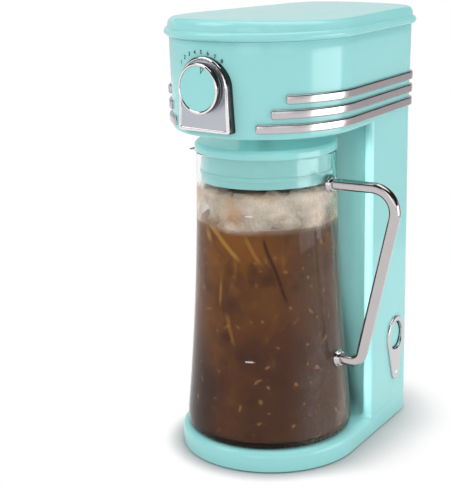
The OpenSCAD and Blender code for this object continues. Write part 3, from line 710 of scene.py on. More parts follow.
# Share of the deck's and the head's rounding that the column's ends reach into
TUCK = 0.9
FOOT_LIFT = 0.01
DRIP_R = 9.0
HEAD_STEP = 6.0
EDGE_LEAD = 0.4
RIM_ROUND = 0.6
# Edge of the head's rim, as distances outwards and upwards from its corner
RIM_EDGE = ((-0.2, -0.15), (-RIM_ROUND, 0.0), (-2.2, 0.0), (-WALL, -0.5))
SEAT_IN = 57.0
SEAT_OUT = 59.6
SEAT_LOW = HEAD_Z + 1
SEAT_TOP = 323.8
SEAT_EDGE = 0.4
# The tank's opening in the head's floor: how far it stays off the walls, and between which heights it is cut
TANK_FREE = 0.05
TANK_CLEAR = 0.2
TANK_CUT = (HEAD_Z - 1, HEAD_Z + 5)
# Cuts in the column's back, as corners: the rear cover's recess and the space behind it
COVER_RECESS = ((-32, BACK_Y - WALL - 0.2, 36), (32, BACK_Y + 5, 255))
COVER_SPACE = ((-24, 108, 44), (24, BACK_Y + 4, 247))
# Holes in the column's side, as radius and distance outwards
BUTTON_HOLE = ((13.6, -15.0), (13.6, 3.0))
LAMP_HOLE = ((2.25, -5.0), (2.25, 3.0))


def base_form(plan, radius):
    r = radius * plan.share + SHARP_R
    rings = plan.rings([(-WALL, DECK_Z - WALL), (-WALL, SKIRT_Z)])
    rings += plan.rings([(out, SKIRT_Z + up) for out, up in SKIRT_EDGE])
    rings.append(plan.ring(0, DECK_Z - r))
    rings += plan.rings([(-r * side, DECK_Z - r * top) for side, top in rounding(9)])
    rings.append(plan.ring(-DECK_INSET, DECK_Z))
    return loft(rings)


def column_loop(radius):
    """Plan of the column from hollow front to back, with the shares of its foot and of the front."""
    start, centre = edge_spot(radius)
    lean = math.atan2(centre[1], centre[0])
    far = start + CLOSE_LEN
    steps = np.concatenate([stops(start, far, 12)[1:], stops(far, SIDE_LEN, 14)])
    hollow, outwards = bend(0, BAY_R, stops(QUARTER, lean, HOLLOW_STEPS))
    edge = bend(centre, radius, np.linspace(lean + math.pi, SIDE_ANGLE + 2 * math.pi, EDGE_STEPS))
    points, normals = in_turn((hollow, -outwards), edge, side_run(steps), rear_half())
    rear = np.zeros(CORNER_STEPS + BACK_STEPS)
    in_hollow, in_edge = np.ones(HOLLOW_STEPS), np.ones(EDGE_STEPS)
    foot = np.concatenate([in_hollow, np.linspace(1, 0, EDGE_STEPS), np.zeros(len(steps)), rear])
    front = np.concatenate([in_hollow, in_edge, front_share(steps, start), rear])
    return mirrored(points, normals, np.column_stack([foot, front]))


def column_form(radius, flare, deck_r, head_r):
    points, normals, shares = column_loop(radius)
    foot, front = shares.T
    rings = []

    def ring(out, z):
        rings.append(raised(points + normals * (foot * out)[:, None], z))

    ring(flare, DECK_Z - TUCK * deck_r * front)
    for side, top in [(0.0, 1.0)] + rounding(8):
        ring(flare * top, DECK_Z + flare * side + FOOT_LIFT)
    for z in np.linspace(DECK_Z + flare, HEAD_Z, 12)[1:]:
        ring(0, z)
    ring(0, HEAD_Z + TUCK * head_r * front)
    return loft(rings)


def widening(draft, z):
    """How far the head's side stands out at a height."""
    return draft * (z - HEAD_Z) / (RIM_Z - HEAD_Z)


def head_form(plan, radius, draft):
    r = radius * plan.share + SHARP_R
    rings = [plan.circle(DRIP_R, HEAD_Z), plan.ring(-r - EDGE_LEAD, HEAD_Z), plan.ring(-r, HEAD_Z)]
    rings += plan.rings([(-r * top, HEAD_Z + r * side) for side, top in rounding(7)])
    heights = np.linspace(HEAD_Z + HEAD_STEP, RIM_Z - RIM_ROUND, 8)
    rings += plan.rings([(widening(draft, z), z) for z in heights])
    rim = widening(draft, RIM_Z)
    rings += plan.rings([(rim + out, RIM_Z + up) for out, up in RIM_EDGE])
    rings += plan.rings([(-WALL, HEAD_Z + HEAD_STEP), (-WALL, HEAD_Z + WALL)])
    rings.append(plan.circle(DRIP_R, HEAD_Z + WALL))
    seat = [(SEAT_IN, SEAT_LOW), (SEAT_OUT, SEAT_LOW),
            (SEAT_OUT, SEAT_TOP - SEAT_EDGE), (SEAT_OUT - SEAT_EDGE, SEAT_TOP),
            (SEAT_IN + SEAT_EDGE, SEAT_TOP), (SEAT_IN, SEAT_TOP - SEAT_EDGE)]
    return joined(loft(rings, tube=True), turned(seat, tube=True))


def tank_gap_form(plan):
    """The opening in the head's floor behind the hollow, where the tank goes through."""
    outer = plan.ring(-WALL - TANK_FREE, 0)[:, :2]
    radius = BAY_R + WALL
    keep = outer[np.hypot(outer[:, 0], outer[:, 1]) > radius + TANK_CLEAR]
    first, last = math.atan2(keep[0, 1], keep[0, 0]), math.atan2(keep[-1, 1], keep[-1, 0])
    ring = np.concatenate([keep, radius * polar(np.linspace(last, first, 40))])
    return loft([raised(ring, z) for z in TANK_CUT])


# Lid
LID_GAP = 0.05
LID_OUT = 2.3
LID_EDGE = 5.0
LID_FLAT = 12.0
LID_MIDDLE = np.array([0.0, 28.0, 0.0])
# Rings of the lid's two faces: insets from the side, then shares of the last one
UNDER_SHARES = (0.04, 0.5, 0.85)
UNDER_INSET = 11.0
UNDER_BEND = 3.5
TOP_INSETS = (6.0, LID_FLAT)
TOP_SHARES = (0.85, 0.7, 0.5, 0.3, 0.12, 0.02)
# Lip that reaches down into the head, as distances outwards from its side and upwards from its rim
LID_LIP = ((-5.0, -5.5), (-4.6, -6.0), (-3.5, -6.0), (-3.0, -5.4))
# Neck between bead and lid, as distances outwards from the lid's side and upwards from the rim
BEAD_NECK = ((0.15, 7.4), (0.0, 8.1))
EDGE_CROWN = 0.3
BEAD_OUT = 5.2
BEAD_R = 3.5
BEAD_STEPS = 14
BEAD_TURN = math.pi * 0.93


def drawn_in(ring, share):
    """A ring of the lid drawn in towards its middle."""
    return LID_MIDDLE + (ring - LID_MIDDLE) * [share, share, 1]


def lid_form(plan, crown):
    def crowned(ring, share=1.0):
        made = ring.copy()
        made[:, 2] += share * crown * (1 - (ring[:, 0] / FRONT_R) ** 2)
        return made

    seat, under = RIM_Z + LID_GAP, LID_Z - WALL
    bead_x, bead_z = BEAD_OUT - BEAD_R, seat + BEAD_R
    lip_inner, lip_outer = LID_LIP[0][0], LID_LIP[-1][0]
    rings = [crowned(drawn_in(plan.ring(-LID_FLAT, under), share)) for share in UNDER_SHARES]
    rings += [crowned(plan.ring(-UNDER_INSET, under)), plan.ring(lip_inner, under - UNDER_BEND)]
    rings += plan.rings([(out, RIM_Z + up) for out, up in LID_LIP])
    rings += plan.rings([(lip_outer, seat), (bead_x, seat)])
    rings += plan.rings(arc_points(bead_x, bead_z, BEAD_R, sweep(-QUARTER, BEAD_TURN, BEAD_STEPS)))
    rings += plan.rings([(LID_OUT + out, RIM_Z + up) for out, up in BEAD_NECK])
    rings.append(crowned(plan.ring(LID_OUT, LID_Z - LID_EDGE), EDGE_CROWN))
    for side, top in rounding(9):
        ring = plan.ring(LID_OUT - LID_EDGE * side, LID_Z - LID_EDGE * top)
        rings.append(crowned(ring, 1 - (1 - EDGE_CROWN) * top))
    rings += [crowned(plan.ring(-inset, LID_Z)) for inset in TOP_INSETS]
    rings += [crowned(drawn_in(plan.ring(-LID_FLAT, LID_Z), share)) for share in TOP_SHARES]
    return loft(rings)


# Trim
TRIM_H = 7.0
TRIM_OUT = 2.5
TRIM_SUNK = 0.9
TRIM_EDGE = 1.3
TRIM_NOSE = 1.8
# Shares of the bar's depth and height that are left at its two tips
TIP_OUT = 0.35
TIP_HIGH = 0.6
TRIM_Z = 281.7
TRIM_PITCH = 10.95
TRIM_START = 30.7
TRIM_STEP = 8.55
TRIM_END = 80.0


def trim_path(level):
    start = math.radians(TRIM_START + TRIM_STEP * level - 90)
    return in_turn(bend(FRONT_MID, FRONT_R, stops(start, SIDE_ANGLE, 70)),
                   side_run(stops(0, SIDE_LEN, 40)),
                   bend(REAR_MID, REAR_R, np.linspace(SIDE_ANGLE, math.radians(TRIM_END), 30)))


def trim_form(level, side, draft):
    """A bar along the head with rounded edges and ends that narrow over its nose."""
    points, normals = trim_path(level)
    run = np.concatenate([[0], np.cumsum(np.linalg.norm(np.diff(points, axis=0), axis=1))])
    ends = TRIM_NOSE * (1 - np.cos(np.linspace(0.12, QUARTER, 9)))
    inside = run[(run > TRIM_NOSE + 0.5) & (run < run[-1] - TRIM_NOSE - 0.5)]
    middle = TRIM_Z + TRIM_PITCH * level
    upper = [TRIM_OUT - TRIM_EDGE, TRIM_H / 2 - TRIM_EDGE] + TRIM_EDGE * polar(np.linspace(0, QUARTER, 6))
    face = np.concatenate([upper[::-1] * [1, -1], upper])
    rings = []
    for s in np.unique(np.concatenate([ends, inside, run[-1] - ends])):
        spot = np.array([np.interp(s, run, points[:, k]) for k in (0, 1)])
        normal = np.array([np.interp(s, run, normals[:, k]) for k in (0, 1)])
        near = min(s, run[-1] - s)
        size = math.sqrt(max(0.0, 1 - max(0.0, 1 - near / TRIM_NOSE) ** 2))
        out = widening(draft, middle) + face[:, 0] * (TIP_OUT + (1 - TIP_OUT) * size)
        up = middle + face[:, 1] * (TIP_HIGH + (1 - TIP_HIGH) * size)
        out = np.concatenate([out, [-TRIM_SUNK, -TRIM_SUNK]])
        flat = spot + np.outer(out, normal / np.linalg.norm(normal))
        rings.append(raised(flat * [side, 1], np.concatenate([up, [up[-1], up[0]]])))
    return loft(rings)


# Dial
PLATE_R = 23.8
PLATE_X = 25.1
PLATE_Z = 278.0
PLATE_FRONT = -76.5
PLATE_CORNER = 1.6
# Edge of the plate, as inset and place from back to front
PLATE_STEPS = ((0, -64.0), (0, -76.2), (0.12, -76.9), (0.5, -77.5), (1.1, -77.95), (1.8, -78.1),
               (2.35, -77.95), (2.7, -77.6), (2.85, -77.3))
# Section of the knob's ring, as radius and distance towards the front
KNOB_RIM = ((12.0, 78.5), (18.7, 78.5), (19.3, 78.8), (19.6, 79.5), (19.6, 82.5), (19.4, 83.3), (18.9, 83.9),
            (18.3, 84.1), (17.8, 84.0), (17.4, 83.7), (17.25, 83.2), (17.25, 80.6), (12.0, 80.6))
SQUARE_ON = 0.3
POINTER_TURN = math.radians(18.0)
POINTER_HALF = 1.9
POINTER_BASE = 16.9
POINTER_TIP = 11.6
POINTER_STEPS = ((0.0, -83.3), (0.0, -83.62), (0.5, -83.62), (0.5, -83.3))
# How many times its base's inset the pointer's half width and its tip draw in
POINTER_NARROW = 1.6
POINTER_SHORT = 3.0
NUMERAL_COUNT = 8
NUMERAL_X = -3.5
NUMERAL_Z = KNOB_Z - 9.0
NUMERAL_REACH = 35.5
NUMERAL_FIRST = -42
NUMERAL_SWEEP = 76
NUMERAL_LIFT = 0.03
NUMERAL_FAT = 0.03
CAP_SHARE = 0.7


def plate_ring(inset, y):
    arch = [0, KNOB_Z] + (PLATE_R - inset) * polar(np.linspace(0, math.pi, 61))
    centre = [PLATE_CORNER - PLATE_X + inset, PLATE_Z + inset + PLATE_CORNER]
    bend = PLATE_CORNER * polar(np.linspace(math.pi, 1.5 * math.pi, 7)) + centre
    return upright(np.concatenate([arch, bend, bend[::-1] * [-1, 1]]), y)


def pointer_form():
    """A thin triangle on the knob's face, its tip towards the middle."""
    across = np.array([math.cos(POINTER_TURN), -math.sin(POINTER_TURN)])
    out = np.array([math.sin(POINTER_TURN), math.cos(POINTER_TURN)])
    rings = []
    for inset, y in POINTER_STEPS:
        half, base = POINTER_HALF - inset * POINTER_NARROW, POINTER_BASE - inset
        corners = [(-half, base), (half, base), (0.0, POINTER_TIP + inset * POINTER_SHORT)]
        rings.append(upright(np.array([u * across + v * out + [0, KNOB_Z] for u, v in corners]), y))
    return loft(rings, tube=True)


def numeral_form(text, size):
    """The flat outline of one numeral, as points and faces in its own plane."""
    curve = bpy.data.curves.new("numeral", "FONT")
    curve.body = text
    curve.align_x = "CENTER"
    curve.align_y = "CENTER"
    curve.size = size / CAP_SHARE
    curve.offset = size * NUMERAL_FAT
    carrier = linked("numeral", curve)
    mesh = final_mesh(carrier)
    points = np.array([v.co for v in mesh.vertices])[:, :2]
    faces = [tuple(p.vertices) for p in mesh.polygons]
    bpy.data.objects.remove(carrier)
    bpy.data.curves.remove(curve)
    bpy.data.meshes.remove(mesh)
    return points, faces


def numerals_form():
    """The numerals on an arc round the knob, laid on the head's round front."""
    radius = FRONT_R + size_of("head_draft") + NUMERAL_LIFT
    forms = []
    for i in range(NUMERAL_COUNT):
        flat, faces = numeral_form(str(i + 1), size_of("numeral_size"))
        a = math.radians(NUMERAL_FIRST + NUMERAL_SWEEP * i / (NUMERAL_COUNT - 1))
        turn = (flat[:, 0] + NUMERAL_X + NUMERAL_REACH * math.sin(a)) / radius
        up = flat[:, 1] + NUMERAL_Z + NUMERAL_REACH * math.cos(a)
        forms.append((np.column_stack([radius * np.sin(turn), FRONT_Y - radius * np.cos(turn), up]), faces))
    return joined(*forms)


# Switch on the flat side: place of its middle line, and profiles as radius or inset and distance outwards
SWITCH_S = 86.0
SWITCH_PT = FRONT_PT + SWITCH_S * SIDE_T
SIDE_OUT = np.array([*SIDE_N, 0.0])
DROP_BIG = 17.4
DROP_SMALL = 7.0
DROP_STEPS = ((0.0, -0.4), (0.0, 0.9), (0.12, 1.4), (0.45, 1.8), (1.0, 2.0), (1.6, 2.0))
BUTTON_SEAT = ((12.35, -3.0), (12.35, 1.1), (12.6, 1.6), (13.3, 2.3), (13.3, 4.0))
LAMP_SEAT = ((2.3, -3.0), (2.3, 1.6), (2.8, 2.3), (2.8, 4.0))
BUTTON_CAP = ((4.0, -9.4), (4.0, -7.0), (12.0, -7.0), (12.0, -2.2), (11.85, -1.5), (11.4, -0.9),
              (10.6, -0.65), (9.0, -0.75), (5.0, -1.0), (0.5, -1.1))
LAMP_COVER = ((2.2, -3.6), (2.2, 1.9), (2.0, 2.3), (1.5, 2.55), (0.8, 2.68), (0.1, 2.7))


def side_turned(profile, height, count):
    """A profile turned about a line square to the flat side."""
    return turned(profile, (*SWITCH_PT, height), SIDE_OUT, count)


def drop_ring(inset, out):
    """The bezel's outline, large round the button and small round the indicator."""
    big, small = DROP_BIG - inset, DROP_SMALL - inset
    lean = math.asin((big - small) / (SWITCH_Z - LAMP_Z))
    upper = [0, SWITCH_Z] + big * polar(np.linspace(-lean, math.pi + lean, 61))
    lower = [0, LAMP_Z] + small * polar(np.linspace(math.pi + lean, 2 * math.pi - lean, 25))
    flat = np.concatenate([upper, lower])
    return raised(SWITCH_PT + np.outer(flat[:, 0], SIDE_T), flat[:, 1]) + out * SIDE_OUT


# Jar, handle and drink
JAR_FOOT_R = 69.6
JAR_RIM_R = 57.0
JAR_SIDE_H = 12.0
JAR_WAIST = 2.6
JAR_EDGE = 4.0
JAR_LIP = JAR_WALL / 2
# Hollow under the jar, as radius and height
JAR_UNDER = ((0.5, 1.2), (40.0, 1.2), (58.0, 1.0), (61.0, 0.0))
FLOOR_H = 4.5
FLOOR_R = 62.8
SPOUT_HALF = math.radians(19)
SPOUT_H = 22.0
SPOUT_OUT = 17.5
SPOUT_DROP = 6.5
HANDLE_REACH = 118.2
HANDLE_FOOT = 20.0
HANDLE_START = 1.5
BEND_TOP = 19.0
BEND_LOW = 9.0
BAR_DEEP = 8.8
BAR_WIDE = 7.8
BAR_EDGE = 2.9
HANDLE_OUT = np.array([math.cos(TURN), math.sin(TURN), 0.0])
HANDLE_ACROSS = np.array([-math.sin(TURN), math.cos(TURN), 0.0])
UP = np.array([0, 0, 1.0])
# Collar where the bar meets the jar, as radius and distance outwards
COLLAR_SUNK = 0.9
COLLAR = ((0.5, 0.0), (7.4, 0.0), (7.4, 1.8), (7.1, 2.3), (6.5, 2.6), (6.2, 4.2), (5.7, 4.8), (5.0, 5.0),
          (0.5, 5.0))
# Dashes on the jar: height above the floor and width
LEVEL_MARKS = ((210.0, 6.0), (91.7, 6.5))
MARK_TURN = math.radians(23.5 - 90)
MARK_HALF = 0.45
MARK_LIFT = 0.06
COFFEE_SUNK = 0.2
# Top of the coffee between the ice pieces, as radius and rise above its level
COFFEE_TOP = ((45.0, -1.1), (41.0, 3.0), (38.0, 19.0), (30.0, 22.0), (0.5, 22.0))
# Edge of the coffee at the glass, as distances outwards and upwards
COFFEE_EDGE = ((-0.6, -0.5), (-1.8, -1.0))
# Ice: pieces in a layer, heights above the coffee, and the spans in which size, corners and place vary
ICE_SEED = 11
ICE_LAYER = 11
ICE_FIRST = 3
ICE_RISE = 14
ICE_HALF = (7.6, 9.8)
ICE_UNEVEN = 0.22
ICE_ROUND = 0.3
ICE_REACH = (40.0, 42.5)
ICE_STRAY = 0.1
ICE_BOB = 3


def jar_radius(h):
    """Outer radius of the jar's side at a height above its foot."""
    t = (max(h, JAR_SIDE_H) - JAR_SIDE_H) / (JAR_H - JAR_SIDE_H)
    return JAR_FOOT_R + (JAR_RIM_R - JAR_FOOT_R) * t - 4 * JAR_WAIST * t * (1 - t)


def spun(profile, count=192):
    """The jar's profile of (radius, height) turned about its axis, with the rim drawn out to a spout."""
    angles = stops(0, 2 * math.pi, count)
    off = (angles - TURN) % (2 * math.pi) - math.pi
    pull = np.cos(np.clip(np.abs(off) / SPOUT_HALF, 0, 1) * QUARTER) ** 2
    rings = []
    for r, z in profile:
        lift = max(0.0, (z - JAR_TOP + SPOUT_H) / SPOUT_H)
        radius = r + pull * SPOUT_OUT * lift ** 2.2
        rings.append(raised(radius[:, None] * polar(angles), z - pull * SPOUT_DROP * lift ** 3))
    return loft(rings)


def jar_form():
    foot_r = JAR_FOOT_R - JAR_EDGE
    profile = [*JAR_UNDER, (foot_r, 0)]
    profile += arc_points(foot_r, JAR_EDGE, JAR_EDGE, sweep(-QUARTER, QUARTER, 6))
    lip_h = JAR_H - JAR_LIP
    heights = np.concatenate([np.linspace(8, 200, 34), np.linspace(206, lip_h, 16)])
    profile += [(jar_radius(h), h) for h in heights]
    profile += arc_points(jar_radius(lip_h) - JAR_LIP, lip_h, JAR_LIP, sweep(0, math.pi, 8)[:-1])
    profile += [(jar_radius(h) - JAR_WALL, h) for h in heights[::-1] if h > 9]
    profile += arc_points(FLOOR_R, FLOOR_H + JAR_EDGE, JAR_EDGE, sweep(0, -QUARTER, 6))
    profile += [(40, FLOOR_H), (0.5, FLOOR_H)]
    return spun([(r, STAND_Z + h) for r, h in profile])


def handle_path():
    """Middle line of the bar as (reach, height), with its direction at each point as an angle."""
    low_reach = jar_radius(ARM_LOW) + HANDLE_FOOT
    lean = math.atan2(HANDLE_REACH - low_reach, ARM_TOP - ARM_LOW)
    turn_top = BEND_TOP * math.tan((QUARTER + lean) / 2)
    turn_low = BEND_LOW * math.tan((QUARTER - lean) / 2)
    top_end, low_end = HANDLE_REACH - turn_top, low_reach - turn_low
    length = (ARM_TOP - ARM_LOW) / math.cos(lean)
    arm_top = stops(jar_radius(ARM_TOP) + HANDLE_START, top_end, 12)
    bend_top = np.linspace(QUARTER, -lean, 18)
    grip = np.linspace(turn_top, length - turn_low, 16)[1:-1]
    bend_low = np.linspace(-lean, -QUARTER, 14)
    arm_low = np.linspace(low_end, jar_radius(ARM_LOW) + HANDLE_START, 5)[1:]
    points = [(r, ARM_TOP) for r in arm_top]
    points += arc_points(top_end, ARM_TOP - BEND_TOP, BEND_TOP, bend_top)
    points += [(HANDLE_REACH - s * math.sin(lean), ARM_TOP - s * math.cos(lean)) for s in grip]
    points += arc_points(low_end, ARM_LOW + BEND_LOW, BEND_LOW, bend_low)
    points += [(r, ARM_LOW) for r in arm_low]
    ways = [np.zeros(len(arm_top)), bend_top - QUARTER, np.full(len(grip), -QUARTER - lean),
            bend_low - QUARTER, np.full(len(arm_low), -math.pi)]
    return points, np.concatenate(ways)


def bar_section():
    ring = []
    for i, (x, y) in enumerate(((1, 1), (-1, 1), (-1, -1), (1, -1))):
        corner = [x * (BAR_DEEP / 2 - BAR_EDGE), y * (BAR_WIDE / 2 - BAR_EDGE)]
        ring.append(corner + BAR_EDGE * polar(np.linspace(i, i + 1, 6) * QUARTER))
    return np.concatenate(ring)


def handle_form():
    section = bar_section()
    rings = []
    for (r, h), way in zip(*handle_path()):
        normal = -math.sin(way) * HANDLE_OUT + math.cos(way) * UP
        centre = r * HANDLE_OUT + (STAND_Z + h) * UP
        rings.append(centre + np.outer(section[:, 0], normal) + np.outer(section[:, 1], HANDLE_ACROSS))
    return loft(rings)


def collar_form(h):
    start = jar_radius(h) - COLLAR_SUNK
    return turned([(r, start + out) for r, out in COLLAR], (0, 0, STAND_Z + h), HANDLE_OUT, 48)


def marks_form():
    forms = []
    for z, wide in LEVEL_MARKS:
        radius = jar_radius(z - STAND_Z) + MARK_LIFT
        angles = MARK_TURN + np.linspace(-wide / 2, wide / 2, 9) / radius
        forms.append(strip_form(radius * polar(angles), z - MARK_HALF, z + MARK_HALF))
    return joined(*forms)


def coffee_form(level):
    """The coffee, which reaches a little into the glass so that no gap shows."""
    low = STAND_Z + FLOOR_H
    profile = [(0.5, low - COFFEE_SUNK), (FLOOR_R, low - COFFEE_SUNK)]
    profile += arc_points(FLOOR_R, low + JAR_EDGE, JAR_EDGE + COFFEE_SUNK, sweep(-QUARTER, QUARTER, 6)[:-1])
    for z in np.linspace(STAND_Z + 9, level, 30):
        profile.append((jar_radius(z - STAND_Z) - JAR_WALL + COFFEE_SUNK, z))
    edge = profile[-1][0]
    profile += [(edge + out, level + up) for out, up in COFFEE_EDGE]
    profile += [(r, level + rise) for r, rise in COFFEE_TOP]
    return turned(profile, count=120)


def ice_forms(count, level):
    """Uneven cubes with soft edges, in layers of a ring along the glass."""
    dice = random.Random(ICE_SEED)
    forms = []
    for i in range(count):
        layer, place = divmod(i, ICE_LAYER)
        half = dice.uniform(*ICE_HALF)
        work = bmesh.new()
        bmesh.ops.create_cube(work, size=2 * half)
        for v in work.verts:
            v.co += Vector([dice.uniform(-ICE_UNEVEN, ICE_UNEVEN) * half for _ in range(3)])
        bmesh.ops.bevel(work, geom=work.edges[:], offset=half * ICE_ROUND, segments=3, profile=0.6,
                        affect="EDGES")
        tilt = dice.uniform(0, 6.28)
        turn = Matrix.Rotation(tilt, 3, Vector([dice.uniform(-1, 1) for _ in range(3)]).normalized())
        reach = dice.uniform(*ICE_REACH)
        angle = math.tau * (place + 0.5 * layer) / ICE_LAYER + dice.uniform(-ICE_STRAY, ICE_STRAY)
        high = level + ICE_FIRST + ICE_RISE * layer + dice.uniform(-ICE_BOB, ICE_BOB)
        spot = Vector((reach * math.cos(angle), reach * math.sin(angle), high))
        points = np.array([turn @ v.co + spot for v in work.verts])
        faces = [tuple(v.index for v in f.verts) for f in work.faces]
        work.free()
        forms.append((points, faces))
    return forms


# Stage, in metres; the floor, flats and cards are forms in millimetres
CAMERA_SPOT = (0.59494, -0.76876, 0.43506)
CAMERA_AHEAD = (-0.61798, 0.74197, -0.25996)
CAMERA_UP = (-0.14882, 0.21428, 0.96537)
LENS = 89.27
SENSOR = 36.0
MIDDLE = (0.0, 0.02, 0.22)
# Lamps: name, place, aim, width, height and watts, with a beam in degrees where it is narrow
LAMPS = (
    ("key_softbox", (-0.95, -1.15, 1.65), MIDDLE, 1.1, 1.1, 10.8),
    ("top_softbox", (0.1, 0.3, 1.9), MIDDLE, 1.6, 1.6, 14.5),
    ("front_fill", (0.6, -1.85, 0.6), MIDDLE, 0.9, 0.9, 3.6),
    ("right_fill", (1.25, -0.95, 0.55), MIDDLE, 0.7, 0.7, 1.2),
)
BOUNCES = (
    ("side_strip", (0.68, 0.22, 0.19), (0.0, 0.02, 0.19), 0.5, 0.27, 0.95),
    ("hollow_bounce_right", (0.0735, 0.008, 0.142), (0.054, 0.062, 0.138), 0.012, 0.226, 0.038, 70.0),
    ("hollow_bounce_left", (-0.0735, 0.006, 0.145), (-0.056, 0.062, 0.145), 0.012, 0.226, 0.018, 70.0),
    ("cap_bounce", (0.0, 0.0, 0.2722), (0.0, 0.0, 0.0), 0.115, 0.115, 0.016),
)
AMBIENT = 0.68
AMBIENT_TONE = (0.95, 0.98, 1.0)
SEEN_RAYS = ("Is Camera Ray", "Is Glossy Ray", "Is Transmission Ray")
FLOOR_HALF = 4000.0
# The object's footprint on the floor, and the width of its painted shadow on the left and what is added on
# the right
FOOT_FRONT_Y = 0.0028
FOOT_REAR_Y = 0.075
FOOT_R = 0.0772
FOOT_TAPER = 0.2
PAINTED_SHADOW_LEFT = 0.018
PAINTED_SHADOW_MORE = 0.042
FLATS = ((2400, 0), (2400, 500), (2400, 1000), (2400, 1500), (2300, 2200), (1200, 2400), (50, 2400))
# Cards: first and last angle in degrees, reach, lower and upper edge
BRIGHT_CARD = (-2.0, 39.0, 690.0, 50.0, 330.0)
BRIGHT_POWER = 4.0
GREY_CARD = (39.5, 88.0, 700.0, 2.0, 330.0)


class MAKER_OT_stage(bpy.types.Operator):
    """Camera, lamps, world and floor"""

    bl_idname = "maker.stage"
    bl_label = "Stage"

    def execute(self, context):
        context.scene.view_settings.view_transform = "Standard"
        context.scene.camera = self.camera()
        context.scene.world = self.world()
        self.floor()
        for row in LAMPS:
            self.lamp(*row)
        for row in BOUNCES:
            lamp = self.lamp(*row)
            lamp.visible_glossy = False
            lamp.visible_transmission = False
        self.flats()
        self.cards()
        return {"FINISHED"}

    def camera(self):
        data = bpy.data.cameras.new("photo_view")
        data.sensor_width = SENSOR
        data.lens = LENS
        data.clip_end = 50.0
        data.dof.use_dof = False
        camera = linked("photo_view", data)
        ahead = Vector(CAMERA_AHEAD).normalized()
        right = ahead.cross(Vector(CAMERA_UP)).normalized()
        turn = Matrix((right, right.cross(ahead), -ahead)).transposed().to_4x4()
        camera.matrix_world = Matrix.Translation(CAMERA_SPOT) @ turn
        return camera

    def world(self):
        look = Finish(bpy.data.worlds.new("studio"))
        soft = look.node("ShaderNodeBackground", None, {"Color": AMBIENT_TONE, "Strength": AMBIENT})
        white = look.node("ShaderNodeBackground", None, {"Color": WHITE, "Strength": 1.0})
        return look.done(look.mixed(self.seen(look), soft, white))

    def seen(self, look):
        """1 for rays that show the background, 0 for those that light the object."""
        rays = [look.node("ShaderNodeLightPath", output=name) for name in SEEN_RAYS]
        return look.node("ShaderNodeClamp", None, {"Value": rays[0] + rays[1] + rays[2]})

    def floor(self):
        half = FLOOR_HALF
        corners = np.array([(-half, -half, 0), (half, -half, 0), (half, half, 0), (-half, half, 0)], float)
        obj = linked("studio_floor", mesh_of("studio_floor", (corners, [(0, 1, 2, 3)])))
        look = new_finish("pale_floor")
        tone = tone_of("floor")
        seen = self.seen(look)
        cloth = look.varied(look.noise(3.0), tone, 0.99, 1.0)
        # For camera rays the floor near the object is darkened to a painted shadow; real shadows fall on it
        # too
        painted_shadow_floor = look.shader({
            "Base Color": look.blend(seen, cloth, shade(tone, 0.66)),
            "Roughness": 0.6,
            "Specular IOR Level": 0.2,
        })
        glow = look.node("ShaderNodeEmission", None, {"Color": WHITE, "Strength": 1.0})
        # Mask of the painted shadow: 0 at the object's footprint, rising to 1 further out, wider on the
        # right
        x, y = look.axis("X"), look.axis("Y")
        along = look.node("ShaderNodeClamp", None, {"Value": y, "Min": FOOT_FRONT_Y, "Max": FOOT_REAR_Y})
        behind = y - along
        reach = (x * x + behind * behind) ** 0.5 - (FOOT_R - along * FOOT_TAPER)
        right = look.span(x * 0.5 + y * 0.86, -0.01, 0.11)
        clear = look.span(reach / (PAINTED_SHADOW_LEFT + right * PAINTED_SHADOW_MORE), -0.1, 1.0)
        obj.data.materials.append(look.done(look.mixed(seen * clear, painted_shadow_floor, glow)))

    def lamp(self, name, spot, aim, wide, tall, power, beam=180.0):
        data = bpy.data.lights.new(name, "AREA")
        data.shape = "RECTANGLE"
        data.size = wide
        data.size_y = tall
        data.energy = power
        data.spread = math.radians(beam)
        lamp = linked(name, data)
        lamp.location = spot
        lamp.visible_camera = False
        lamp.rotation_mode = "QUATERNION"
        lamp.rotation_quaternion = (Vector(aim) - Vector(spot)).to_track_quat("-Z", "Y")
        return lamp

    def flats(self):
        """A grey wall and dark ceiling round the set, seen only in reflections."""
        points, faces = turned(FLATS, count=64)
        obj = linked("studio_flats", mesh_of("studio_flats", (points, faces[:-2])))
        look = new_finish("grey_flats")
        rear = look.span(look.axis("Y") - look.axis("X"), 1.8, 2.9)
        high = look.span(look.axis("Z") - rear * 0.5, 0.45, 0.85)
        corner = look.span(look.axis("X") * 0.6 + look.axis("Y") * 0.8, 2.05, 2.3)
        tone = look.blend(rear, (0.72, 0.72, 0.73), (0.66, 0.66, 0.66))
        tone = look.blend(high, tone, (0.03, 0.03, 0.03))
        tone = look.blend(corner * 0.85, tone, (0.02, 0.02, 0.02))
        self.reflected(obj, look, tone)

    def cards(self):
        """A bright and a grey card on the right, seen in reflections, the bright one also through glass."""
        look = new_finish("bright_card")
        tone = look.blend(look.noise(4.0), (0.97, 0.97, 0.97), WHITE)
        self.reflected(self.card("bright_card", *BRIGHT_CARD), look, tone, BRIGHT_POWER, True)
        look = new_finish("grey_card")
        fade = look.span(look.axis("Y") - look.axis("X"), -0.22, 0.02)
        tone = look.blend(fade, (0.95, 0.95, 0.95), (0.55, 0.53, 0.54))
        self.reflected(self.card("grey_card", *GREY_CARD), look, tone)

    def card(self, name, first, last, reach, low, high):
        arc = reach * polar(np.radians(np.linspace(first, last, 24)))
        return linked(name, mesh_of(name, strip_form(arc, low, high)))

    def reflected(self, obj, look, tone, strength=1.0, through=False):
        """Lets a stage piece glow in reflections alone, or also for rays that come through glass."""
        glow = look.node("ShaderNodeEmission", None, {"Color": tone, "Strength": strength})
        obj.data.materials.append(look.done(glow))
        obj.visible_camera = False
        obj.visible_diffuse = False
        obj.visible_transmission = through
        obj.visible_shadow = False


